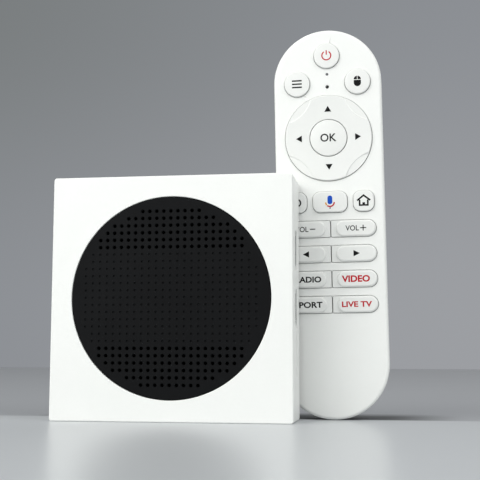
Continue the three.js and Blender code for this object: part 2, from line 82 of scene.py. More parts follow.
def clear_selection() -> None:
    """Deselects every object, so that the next operator acts on its own piece alone."""
    bpy.ops.object.select_all(action="DESELECT")


def select_only(obj: bpy.types.Object) -> None:
    """Selects one object and makes it the active one.

    Args:
        obj: The object.
    """
    clear_selection()
    obj.select_set(True)
    bpy.context.view_layer.objects.active = obj


class Piece:
    """One mesh under the modeller's hands."""

    def __init__(self, name: str) -> None:
        """Takes over the object that was added last.

        Args:
            name: The name of the piece.
        """
        self.obj = bpy.context.object
        self.obj.name = name
        self.obj.data.name = name
        self.apply_place()

    # -- starts
    @classmethod
    def bar(cls, name: str, radius: float, near: float, far: float,
            centre: Place = (0.0, 0.0), sides: int = 64) -> "Piece":
        """Starts a round bar that runs in depth, with no corner on its widest lines.

        Args:
            name: The name of the piece.
            radius: Its radius.
            near: The depth of its near end.
            far: The depth of its far end.
            centre: The x and z of its axis.
            sides: How many sides it has.

        Returns:
            The new piece.
        """
        clear_selection()
        bpy.ops.mesh.primitive_cylinder_add(
            vertices=sides, radius=radius, depth=far - near,
            location=(centre[0], (near + far) / 2, centre[1]),
            rotation=(math.pi / 2, math.pi / sides, 0))
        return cls(name)

    @classmethod
    def slab(cls, name: str, size: Place, near: float, far: float, centre: Place = (0.0, 0.0),
             radii: Place = (0.0, 0.0), steps: int = 8) -> "Piece":
        """Starts a plate with rounded corners that runs in depth.

        Args:
            name: The name of the piece.
            size: Its width and its height.
            near: The depth of its near face.
            far: The depth of its far face.
            centre: The x and z of its middle.
            radii: The corner radius on its left and on its right.
            steps: The segments in each rounded corner.

        Returns:
            The new piece.
        """
        clear_selection()
        bpy.ops.mesh.primitive_cube_add(
            size=1, location=(centre[0], (near + far) / 2, centre[1]),
            scale=(size[0], far - near, size[1]))
        piece = cls(name)
        for side, radius in zip((-1, 1), radii):
            if radius > 0:
                with piece.edges(lambda a, b: abs(a.y - b.y) > 1e-4 and (a.x - centre[0]) * side > 0):
                    bpy.ops.mesh.bevel(offset=radius, segments=steps, clamp_overlap=False)
        return piece

    @classmethod
    def stadium(cls, name: str, width: float, low: float, high: float, near: float, far: float,
                sides: int = 96) -> "Piece":
        """Starts a long plate with fully round ends, by parting a round bar.

        Args:
            name: The name of the piece.
            width: Its width.
            low: The height of its lower end.
            high: The height of its upper end.
            near: The depth of its near face.
            far: The depth of its far face.
            sides: The sides of its two round ends together.

        Returns:
            The new piece.
        """
        radius = width / 2
        middle = low + radius
        piece = cls.bar(name, radius, near, far, (0.0, middle), sides)
        with piece.vertices(lambda co: co.z > middle):
            bpy.ops.transform.translate(value=(0, 0, high - low - width))
        return piece

    @classmethod
    def turned(cls, name: str, profile: Sequence[Place], centre: Place = (0.0, 0.0),
               sides: int = 64) -> "Piece":
        """Draws a profile point by point and spins it about an axis that runs in depth.

        Args:
            name: The name of the piece.
            profile: Radius and depth of each point, in order, starting and ending on the axis
                or joined up by a last point that repeats the first.
            centre: The x and z of the axis.
            sides: How many steps the spin takes.

        Returns:
            The new piece.
        """
        clear_selection()
        bpy.ops.mesh.primitive_plane_add(size=1, location=(0, 0, 0))
        piece = cls(name)
        start = (centre[0] + profile[0][0], profile[0][1], centre[1])
        with piece.vertices(lambda co: True):
            bpy.ops.mesh.merge(type="CENTER")
            bpy.ops.transform.translate(value=start)
            for (r0, y0), (r1, y1) in zip(profile, profile[1:]):
                bpy.ops.mesh.extrude_region_move(
                    TRANSFORM_OT_translate={"value": (r1 - r0, y1 - y0, 0)})
            bpy.ops.mesh.select_all(action="SELECT")
            bpy.ops.mesh.spin(steps=sides, angle=2 * math.pi, use_normal_flip=False,
                              center=(centre[0], 0, centre[1]), axis=(0, 1, 0))
        piece.weld()
        return piece

    @classmethod
    def lettering(cls, name: str, words: str, size: Place, near: float, far: float,
                  centre: Place, weight: float = 0.012) -> "Piece":
        """Sets plain words as a thin solid that faces -y.

        Args:
            name: The name of the piece.
            words: What it says.
            size: The width and height of the whole.
            near: The depth of its near face.
            far: The depth of its far face.
            centre: The x and z of its middle.
            weight: How much bolder than normal the letters are.

        Returns:
            The new piece.
        """
        clear_selection()
        bpy.ops.object.text_add()
        text = bpy.context.object
        text.data.body = words
        text.data.resolution_u = 4
        text.data.offset = weight
        text.data.extrude = 0.5
        bpy.ops.object.convert(target="MESH")
        piece = cls(name)
        corners = [vertex.co for vertex in piece.obj.data.vertices]
        low = [min(co[i] for co in corners) for i in range(3)]
        high = [max(co[i] for co in corners) for i in range(3)]
        aims = (*size, far - near)
        middle = Matrix.Translation([-(low[i] + high[i]) / 2 for i in range(3)])
        scale = Matrix.Diagonal([aims[i] / (high[i] - low[i]) for i in range(3)] + [1.0])
        stand = Matrix.Rotation(math.pi / 2, 4, "X")
        place = Matrix.Translation((centre[0], (near + far) / 2, centre[1]))
        piece.obj.matrix_world = place @ stand @ scale @ middle
        piece.apply_place()
        piece.weld(1e-4)
        return piece

    # -- choosing
    @contextmanager
    def _shaping(self, domain: Domain, chosen: Sequence[bool]) -> Iterator[None]:
        """Opens edit mode with only the chosen elements selected.

        Args:
            domain: What kind of element is chosen.
            chosen: For each element, whether it is selected.
        """
        select_only(self.obj)
        mesh = self.obj.data
        groups = (mesh.vertices, mesh.edges, mesh.polygons)
        for group in groups:
            group.foreach_set("select", [False] * len(group))
        groups[domain.value].foreach_set("select", chosen)
        modes = [other is domain for other in Domain]
        bpy.context.tool_settings.mesh_select_mode = modes
        bpy.ops.object.mode_set(mode="EDIT")
        try:
            yield
        finally:
            bpy.ops.object.mode_set(mode="OBJECT")

    def vertices(self, test: PointTest) -> AbstractContextManager[None]:
        """Edit mode on the vertices whose place passes the test."""
        return self._shaping(Domain.VERTICES, [test(v.co) for v in self.obj.data.vertices])

    def edges(self, test: EdgeTest) -> AbstractContextManager[None]:
        """Edit mode on the edges whose two ends pass the test.

        Args:
            test: Takes the places of the two ends.

        Returns:
            The context that edit mode lasts for.
        """
        points = self.obj.data.vertices
        chosen = [test(*(points[index].co for index in edge.vertices)) for edge in self.obj.data.edges]
        return self._shaping(Domain.EDGES, chosen)

    def faces(self, test: FaceTest) -> AbstractContextManager[None]:
        """Edit mode on the faces whose centre and normal pass the test."""
        chosen = [test(face.center, face.normal) for face in self.obj.data.polygons]
        return self._shaping(Domain.FACES, chosen)

    def open_edges(self, test: EdgeTest) -> AbstractContextManager[None]:
        """Edit mode on the edges that belong to at most one face and pass the test.

        Args:
            test: Takes the places of the two ends.

        Returns:
            The context that edit mode lasts for.
        """
        mesh = self.obj.data
        uses: dict[tuple[int, int], int] = {}
        for face in mesh.polygons:
            for key in face.edge_keys:
                uses[key] = uses.get(key, 0) + 1
        points = mesh.vertices
        chosen = [
            uses.get(edge.key, 0) < 2 and test(*(points[index].co for index in edge.vertices))
            for edge in mesh.edges
        ]
        return self._shaping(Domain.EDGES, chosen)

    # -- shaping
    def round_rim(self, depth: float, radius: float, steps: int = 4) -> "Piece":
        """Rounds the edges that lie at one depth.

        Args:
            depth: The depth of the face whose rim is rounded.
            radius: The radius of the rounding.
            steps: Its segments.

        Returns:
            The piece itself.
        """
        with self.edges(lambda a, b: abs(a.y - depth) < 1e-4 and abs(b.y - depth) < 1e-4):
            bpy.ops.mesh.bevel(offset=radius, segments=steps, clamp_overlap=False)
        return self

    def hollow(self, depth: float, wall: float, reach: float) -> "Piece":
        """Opens the face at one depth and sinks a hollow into it, leaving a wall all round.

        Args:
            depth: The depth of the face.
            wall: The thickness of the wall that stays.
            reach: How far the floor of the hollow moves in depth.

        Returns:
            The piece itself.
        """
        with self.faces(lambda centre, normal: abs(centre.y - depth) < 1e-4 and abs(normal.y) > 0.99):
            bpy.ops.mesh.inset(thickness=wall)
            bpy.ops.mesh.extrude_region_move(TRANSFORM_OT_translate={"value": (0, reach, 0)})
        return self

    def sink(self, far: float, radius: float, steps: int = 3) -> "Piece":
        """Shapes a cutter that leaves a rounded lip: its far face narrows along a quarter circle.

        Args:
            far: How deep the straight part of the cutter goes beyond the lip.
            radius: The radius of the lip.
            steps: The segments of the lip.

        Returns:
            The piece itself.
        """
        ends = max(vertex.co.y for vertex in self.obj.data.vertices)
        turn = [math.pi / 2 * step / steps for step in range(steps + 1)]
        with self.faces(lambda centre, normal: normal.y > 0.99 and abs(centre.y - ends) < 1e-4):
            for a, b in zip(turn, turn[1:]):
                bpy.ops.mesh.inset(thickness=radius * (math.sin(b) - math.sin(a)),
                                   depth=radius * (math.cos(a) - math.cos(b)))
            bpy.ops.mesh.extrude_region_move(TRANSFORM_OT_translate={"value": (0, far, 0)})
        return self

    def _combine(self, operation: str, other: "Piece") -> None:
        """Applies one boolean operation with another piece and uses that piece up.

        Args:
            operation: The modifier's name for it.
            other: The other piece.
        """
        change = self.obj.modifiers.new("change", "BOOLEAN")
        change.operation = operation
        change.solver = "EXACT"
        change.object = other.obj
        self._apply(change)
        bpy.data.objects.remove(other.obj)

    def carve(self, *cutters: "Piece") -> "Piece":
        """Cuts other pieces out of this one and uses them up.

        Args:
            cutters: The pieces that are taken away. They don't touch one another.

        Returns:
            The piece itself.
        """
        self._combine("DIFFERENCE", cutters[0].add(*cutters[1:]))
        return self

    def fuse(self, *others: "Piece") -> "Piece":
        """Grows this piece by others, which are used up.

        Args:
            others: The pieces that are merged into it, one after the other.

        Returns:
            The piece itself.
        """
        for other in others:
            self._combine("UNION", other)
        return self

    def add(self, *others: "Piece") -> "Piece":
        """Joins other pieces to this one.

        Args:
            others: The pieces that become part of it.

        Returns:
            The piece itself.
        """
        if others:
            select_only(self.obj)
            for other in others:
                other.obj.select_set(True)
            bpy.ops.object.join()
        return self

    def copy(self, name: str, offset: Sequence[float] = (0.0, 0.0, 0.0)) -> "Piece":
        """Copies the piece with a mesh of its own.

        Args:
            name: The name of the copy.
            offset: How far the copy stands from the first one.

        Returns:
            The copy.
        """
        select_only(self.obj)
        bpy.ops.object.duplicate(linked=False)
        bpy.context.object.location = offset
        return Piece(name)

    def repeat(self, count: int, step: Sequence[float]) -> "Piece":
        """Repeats the piece in a row.

        Args:
            count: How many there are in the row.
            step: The way from one to the next.

        Returns:
            The piece itself.
        """
        row = self.obj.modifiers.new("row", "ARRAY")
        row.count = count
        row.use_relative_offset = False
        row.use_constant_offset = True
        row.constant_offset_displace = step
        self._apply(row)
        return self

    def face(self, axis: Axis) -> "Piece":
        """Turns the piece about the origin, so that its near face looks along the axis.

        Args:
            axis: The way it then points.

        Returns:
            The piece itself.
        """
        self.obj.rotation_euler = axis.value
        self.apply_place()
        return self

    def shift(self, offset: Sequence[float]) -> "Piece":
        """Moves the whole piece.

        Args:
            offset: How far it goes along x, y and z.

        Returns:
            The piece itself.
        """
        self.obj.location = offset
        self.apply_place()
        return self

    def weld(self, distance: float = 1e-3) -> "Piece":
        """Merges vertices that lie together and turns every face outwards.

        Args:
            distance: How near they lie.

        Returns:
            The piece itself.
        """
        with self.vertices(lambda co: True):
            bpy.ops.mesh.remove_doubles(threshold=distance)
            bpy.ops.mesh.select_all(action="SELECT")
            bpy.ops.mesh.normals_make_consistent(inside=False)
        return self

    def _apply(self, modifier: bpy.types.Modifier) -> None:
        """Makes one modifier part of the mesh.

        Args:
            modifier: The modifier, which is used up.
        """
        select_only(self.obj)
        bpy.ops.object.modifier_apply(modifier=modifier.name)

    def apply_place(self) -> None:
        """Moves the object's place, turn and scale into its mesh."""
        select_only(self.obj)
        bpy.ops.object.transform_apply(location=True, rotation=True, scale=True)

    def smooth(self, degrees: float = 32.0) -> "Piece":
        """Shades gentle edges smooth and keeps flat faces flat up to their roundings.

        Args:
            degrees: The sharpest angle between two faces that is still shaded smooth.

        Returns:
            The piece itself.
        """
        select_only(self.obj)
        bpy.ops.object.shade_smooth_by_angle(angle=math.radians(degrees))
        weighted = self.obj.modifiers.new("flats", "WEIGHTED_NORMAL")
        weighted.keep_sharp = True
        weighted.weight = 100
        self._apply(weighted)
        return self


# ---------------------------------------------------------------- finishes
class Signal:
    """A value that varies over a surface: arithmetic on it adds Math nodes."""

    def __init__(self, recipe: "Recipe", socket: bpy.types.NodeSocket) -> None:
        """Wraps one output socket of the recipe's nodes."""
        self.recipe = recipe
        self.socket = socket

    def _math(self, operation: str, first: "Signal | float", second: "Signal | float") -> "Signal":
        """Adds one Math node."""
        return self.recipe.node("ShaderNodeMath", {"operation": operation}, {0: first, 1: second})

    def __add__(self, other: "Signal | float") -> "Signal":
        """self + other"""
        return self._math("ADD", self, other)

    def __radd__(self, other: float) -> "Signal":
        """other + self"""
        return self._math("ADD", other, self)

    def __sub__(self, other: "Signal | float") -> "Signal":
        """self - other"""
        return self._math("SUBTRACT", self, other)

    def __rsub__(self, other: float) -> "Signal":
        """other - self"""
        return self._math("SUBTRACT", other, self)

    def __mul__(self, other: "Signal | float") -> "Signal":
        """self * other"""
        return self._math("MULTIPLY", self, other)

    def __rmul__(self, other: float) -> "Signal":
        """other * self"""
        return self._math("MULTIPLY", other, self)

    def between(self, low: float, high: float) -> "Signal":
        """Goes smoothly from zero to one.

        Args:
            low: The value up to which it is zero.
            high: The value from which it is one.

        Returns:
            The step.
        """
        mapped = {"Value": self, "From Min": low, "From Max": high, "To Min": 0.0, "To Max": 1.0}
        return self.recipe.node("ShaderNodeMapRange", {"interpolation_type": "SMOOTHSTEP"}, mapped)


class Recipe:
    """The nodes of one material."""

    def __init__(self, name: str) -> None:
        """Starts an empty material.

        Args:
            name: The name of the material.
        """
        self.material = bpy.data.materials.new(name)
        self.material.use_nodes = True
        self.tree = self.material.node_tree
        self.tree.nodes.clear()

    def node(self, kind: str, settings: dict[str, object], inputs: dict[object, object],
             output: str | int = 0) -> Signal | None:
        """Adds a node.

        Args:
            kind: The node's type.
            settings: What is set on the node itself, such as a Math node's operation.
            inputs: The value or the signal of each input, by name or number.
            output: The output that is handed back.

        Returns:
            The node's output as a signal, or nothing where the node has none.
        """
        made = self.tree.nodes.new(kind)
        for name, value in settings.items():
            setattr(made, name, value)
        for name, value in inputs.items():
            socket = made.inputs[name]
            if isinstance(value, Signal):
                self.tree.links.new(value.socket, socket)
            elif socket.type == "RGBA":
                socket.default_value = (*value, 1.0)
            else:
                socket.default_value = value
        return Signal(self, made.outputs[output]) if made.outputs else None

    def place(self) -> Signal:
        """Where a point is on the piece, in metres."""
        return self.node("ShaderNodeTexCoord", {}, {}, "Object")

    def axis(self, letter: str) -> Signal:
        """One coordinate of a point on the piece, in metres."""
        return self.node("ShaderNodeSeparateXYZ", {}, {0: self.place()}, letter)

    def noise(self, size: float, detail: float = 3.0, roughness: float = 0.5) -> Signal:
        """Cloudy noise from zero to one.

        Args:
            size: The size of its patches in millimetres.
            detail: How many finer layers it has.
            roughness: How strong the finer layers are.

        Returns:
            The noise.
        """
        inputs = {"Vector": self.place(), "Scale": 1.0 / (size * MILLIMETRE), "Detail": detail,
                  "Roughness": roughness}
        return self.node("ShaderNodeTexNoise", {"normalize": True}, inputs, 0)

    def cells(self, size: float) -> Signal:
        """Distance to the nearest of many scattered points, for pitted or beaded textures.

        Args:
            size: How far apart the points are, in millimetres.

        Returns:
            The distance.
        """
        inputs = {"Vector": self.place(), "Scale": 1.0 / (size * MILLIMETRE)}
        return self.node("ShaderNodeTexVoronoi", {"feature": "F1"}, inputs, "Distance")

    def tint(self, amount: "Signal | float", plain: "Signal | Colour",
             other: "Signal | Colour") -> Signal:
        """Goes from one colour to another.

        Args:
            amount: How much of the other colour there is.
            plain: The colour at zero.
            other: The colour at one.

        Returns:
            The mixed colour.
        """
        return self.node("ShaderNodeMix", {"data_type": "RGBA"}, {0: amount, 6: plain, 7: other}, 2)

    def relief(self, height: Signal, depth: float) -> Signal:
        """A bumped normal.

        Args:
            height: The relief from zero to one.
            depth: How high one is, in millimetres.

        Returns:
            The normal.
        """
        inputs = {"Height": height, "Distance": depth * MILLIMETRE, "Strength": 1.0}
        return self.node("ShaderNodeBump", {}, inputs, "Normal")

    def surface(self, inputs: dict[str, object]) -> bpy.types.Material:
        """Ends the recipe with its shader.

        Args:
            inputs: The values and signals of the shader's sockets, by name.

        Returns:
            The finished material.
        """
        shader = self.node("ShaderNodeBsdfPrincipled", {}, inputs, "BSDF")
        self.node("ShaderNodeOutputMaterial", {}, {"Surface": shader})
        return self.material


def shade(colour: Colour, factor: float) -> Colour:
    """A colour made lighter or darker."""
    return tuple(min(1.0, channel * factor) for channel in colour)


@dataclass(frozen=True)
class MouldedPlastic:
    """Plastic from a spark-eroded mould: a fine even grain, faint clouds and a few rubbed spots."""

    name: str
    colour: Colour
    roughness: float = 0.42
    grain: float = 0.35
    relief: float = 0.012
    clouds: float = 0.025
    sheen: float = 0.5

    def material(self) -> bpy.types.Material:
        """Makes the material.

        Returns:
            The material.
        """
        recipe = Recipe(self.name)
        clouds = recipe.noise(38.0, 4.0)
        specks = recipe.noise(1.1, 2.0)
        amount = (clouds * 0.7 + specks * 0.3).between(0.3, 0.7)
        darker = shade(self.colour, 1.0 - self.clouds)
        lighter = shade(self.colour, 1.0 + self.clouds)
        colour = recipe.tint(amount, darker, lighter)
        grain = recipe.noise(self.grain, 2.0, 0.6)
        rubbed = recipe.noise(9.0, 3.0).between(0.35, 0.75)
        roughness = self.roughness + rubbed * 0.08 + grain * 0.06 - 0.07
        return recipe.surface({
            "Base Color": colour, "Roughness": roughness, "Specular IOR Level": self.sheen,
            "Normal": recipe.relief(grain, self.relief)})


@dataclass(frozen=True)
class SoftRubber:
    """Dull rubber or silicone with a dusty bloom."""

    name: str
    colour: Colour
    roughness: float = 0.8
    bloom: float = 0.25

    def material(self) -> bpy.types.Material:
        """Makes the material.

        Returns:
            The material.
        """
        recipe = Recipe(self.name)
        dust = recipe.noise(4.0, 5.0, 0.65).between(0.45, 0.8)
        pores = recipe.cells(0.25)
        colour = recipe.tint(dust * self.bloom, self.colour, shade(self.colour, 2.2))
        return recipe.surface({
            "Base Color": colour, "Roughness": self.roughness + dust * 0.15 - 0.05,
            "Normal": recipe.relief(pores, 0.015)})


@dataclass(frozen=True)
class RolledMetal:
    """Rolled or plated sheet with fine lines along one axis."""

    name: str
    colour: Colour
    roughness: float = 0.3
    lines: Colour = (1.0, 1.0, 12.0)

    def material(self) -> bpy.types.Material:
        """Makes the material.

        Returns:
            The material.
        """
        recipe = Recipe(self.name)
        mapped = {"Vector": recipe.place(), "Scale": self.lines}
        stretched = recipe.node("ShaderNodeMapping", {}, mapped)
        streaks = recipe.node("ShaderNodeTexNoise", {}, {
            "Vector": stretched, "Scale": 900.0, "Detail": 3.0})
        tarnish = recipe.noise(6.0, 4.0).between(0.4, 0.8)
        colour = recipe.tint(tarnish * 0.5, self.colour, shade(self.colour, 0.78))
        roughness = self.roughness + streaks * 0.12 + tarnish * 0.1 - 0.06
        return recipe.surface({
            "Base Color": colour, "Metallic": 1.0, "Roughness": roughness,
            "Normal": recipe.relief(streaks, 0.004)})


@dataclass(frozen=True)
class CircuitBoard:
    """Solder mask with buried copper tracks and tinned pads."""

    name: str
    mask: Colour
    track: Colour
    pad: Colour
    track_pitch: float = 1.6

    def material(self) -> bpy.types.Material:
        """Makes the material.

        Returns:
            The material.
        """
        recipe = Recipe(self.name)
        across = recipe.axis("X") * (1.0 / (self.track_pitch * MILLIMETRE))
        along = recipe.axis("Z") * (1.0 / (self.track_pitch * MILLIMETRE))
        bend = recipe.noise(14.0, 1.0)
        folded = {0: across + along * bend, 1: 0.5}
        lines = recipe.node("ShaderNodeMath", {"operation": "PINGPONG"}, folded)
        tracks = lines.between(0.28, 0.34)
        spots = recipe.cells(2.6)
        pads = 1.0 - spots.between(0.16, 0.2)
        colour = recipe.tint(pads, recipe.tint(tracks, self.mask, self.track), self.pad)
        return recipe.surface({
            "Base Color": colour, "Metallic": pads * 0.8, "Roughness": 0.45 - pads * 0.15,
            "Normal": recipe.relief(tracks, 0.03)})


@dataclass(frozen=True)
class ClearPlastic:
    """Smoked or frosted clear plastic, seen as a dark or milky body under a smooth face."""

    name: str
    colour: Colour
    roughness: float = 0.12

    def material(self) -> bpy.types.Material:
        """Makes the material.

        Returns:
            The material.
        """
        recipe = Recipe(self.name)
        haze = recipe.noise(3.0, 3.0).between(0.3, 0.8)
        colour = recipe.tint(haze * 0.4, self.colour, shade(self.colour, 1.35))
        return recipe.surface({
            "Base Color": colour, "Roughness": self.roughness + haze * 0.06,
            "Coat Weight": 0.5, "Coat Roughness": 0.05})


@dataclass(frozen=True)
class PrintedInk:
    """Screen-printed ink, a little uneven where the screen left it thin."""

    name: str
    colour: Colour
    roughness: float = 0.5
    gloss: float = 0.15

    def material(self) -> bpy.types.Material:
        """Makes the material.

        Returns:
            The material.
        """
        recipe = Recipe(self.name)
        thin = recipe.noise(0.6, 3.0).between(0.55, 0.85)
        colour = recipe.tint(thin * 0.3, self.colour, tuple(0.8 * c + 0.04 for c in self.colour))
        return recipe.surface({
            "Base Color": colour, "Roughness": self.roughness + thin * 0.1,
            "Specular IOR Level": self.gloss, "Normal": recipe.relief(recipe.noise(0.2), 0.004)})


@dataclass(frozen=True)
class ShrinkSleeve:
    """The printed sleeve of a battery cell, with one end in a second colour."""

    name: str
    colour: Colour
    band: Colour
    level: float

    def material(self) -> bpy.types.Material:
        """Makes the material.

        Returns:
            The material.
        """
        recipe = Recipe(self.name)
        upper = (recipe.axis("Z") * (1.0 / MILLIMETRE)).between(self.level - 0.2, self.level + 0.2)
        scuffs = recipe.noise(2.0, 4.0).between(0.6, 0.9)
        return recipe.surface({
            "Base Color": recipe.tint(upper, self.colour, self.band),
            "Roughness": 0.28 + scuffs * 0.25, "Coat Weight": 0.4})


WHITE = (0.885, 0.895, 0.875)


@dataclass
class Finishes:
    """Every finish of the object, by the name of its material slot."""

    made: dict[str, bpy.types.Material] = field(default_factory=dict)

    def prepare(self) -> None:
        """Makes all the materials once."""
        recipes = {
            "white_case": MouldedPlastic("case_white", WHITE, 0.42, 0.32, 0.01, 0.012),
            "white_key": MouldedPlastic("key_white", shade(WHITE, 0.94), 0.36, 0.22, 0.004, 0.01),
            "dark_grille": MouldedPlastic(
                "grille_charcoal", (0.004, 0.0043, 0.005), 0.6, 0.4, 0.02, 0.12, 0.1),
            "cover_plastic": MouldedPlastic(
                "cover_charcoal", (0.022, 0.022, 0.024), 0.55, 0.45, 0.03, 0.12, 0.4),
            "rubber_feet": SoftRubber("foot_rubber", (0.018, 0.018, 0.019)),
            "silicone": SoftRubber("pad_silicone", (0.33, 0.34, 0.36), 0.6),
            "steel": RolledMetal("plated_steel", (0.62, 0.63, 0.64), 0.26),
            "aluminium": RolledMetal("drawn_aluminium", (0.74, 0.75, 0.76), 0.34, (1.0, 8.0, 1.0)),
            "contact_steel": RolledMetal("nickel_plate", (0.70, 0.69, 0.66), 0.18),
            "board": CircuitBoard(
                "solder_mask", (0.01, 0.075, 0.035), (0.016, 0.12, 0.055), (0.72, 0.6, 0.3)),
            "chip": MouldedPlastic("chip_epoxy", (0.016, 0.016, 0.017), 0.6, 0.15, 0.01, 0.2),
            "socket_plastic": MouldedPlastic(
                "socket_nylon", (0.018, 0.018, 0.02), 0.48, 0.3, 0.01, 0.15),
            "smoked_lens": ClearPlastic("smoked_lens", (0.012, 0.01, 0.014)),
            "clear_lens": ClearPlastic("frosted_lens", (0.10, 0.105, 0.11), 0.3),
            "battery_sleeve": ShrinkSleeve(
                "cell_sleeve", (0.02, 0.05, 0.12), (0.55, 0.42, 0.12), 48.0),
            "black_ink": PrintedInk("ink_black", (0.004, 0.004, 0.0045)),
            "red_ink": PrintedInk("ink_red", (0.50, 0.006, 0.018)),
            "blue_ink": PrintedInk("ink_blue", (0.01, 0.08, 0.50)),
            "amber_ink": PrintedInk("ink_amber", (0.75, 0.36, 0.04)),
            "gold": RolledMetal("gold_plate", (0.78, 0.58, 0.26), 0.22),
        }
        for slot, finish in recipes.items():
            self.made[slot] = finish.material()

    def dress(self, obj: bpy.types.Object, slot: str) -> None:
        """Gives an object one finish all over.

        Args:
            obj: The object.
            slot: The slot that the finish is for.
        """
        obj.data.materials.clear()
        obj.data.materials.append(self.made[slot])


RECORD_SLOTS = {entry["slot"] for entry in frame["record"]["materials"]}


@dataclass
class SubAssembly:
    """What the player and the remote have in common: a frame of their own and their finishes."""

    finishes: Finishes
    matrix: Matrix

    def settle(self, piece: Piece, body: str, slot: str, *nodes: str) -> bpy.types.Object:
        """Brings a piece to its place, dresses it and ties it to its body.

        Args:
            piece: The piece, in this frame and in millimetres.
            body: The body that it moves with.
            slot: The finish that it takes.
            nodes: The nodes that it stands for.

        Returns:
            The finished object.
        """
        piece.obj.matrix_world = self.matrix
        piece.apply_place()
        self.finishes.dress(piece.obj, slot)
        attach(piece.obj, body)
        if nodes:
            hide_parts(*nodes)
        slot in RECORD_SLOTS
        log.info("%s on %s: %d faces", piece.obj.name, body, len(piece.obj.data.polygons))
        return piece.obj

    def box(self, node: str) -> tuple[Vector, Vector]:
        """The lowest and highest corners of a node in this frame, in millimetres.

        Args:
            node: The node's name.

        Returns:
            The two corners.
        """
        back = self.matrix.inverted()
        points = [back @ vertex.co for vertex in frame["nodes"][node].data.vertices]
        low = Vector([min(point[i] for point in points) for i in range(3)])
        high = Vector([max(point[i] for point in points) for i in range(3)])
        return low, high

    def dress_nodes(self, slots: dict[str, str]) -> None:
        """Gives nodes that keep their shape their finishes.

        Args:
            slots: The slot of each node, by the node's name.
        """
        for node, slot in slots.items():
            for held in frame["nodes"][node].material_slots:
                held.material = self.finishes.made[slot]
            log.info("%s keeps its shape, with %s", node, slot)


# ---------------------------------------------------------------- the player
@dataclass(frozen=True)
class VentRow:
    """A row of the grille's pattern: its number from the middle and how far it reaches."""

    number: int
    reach: int


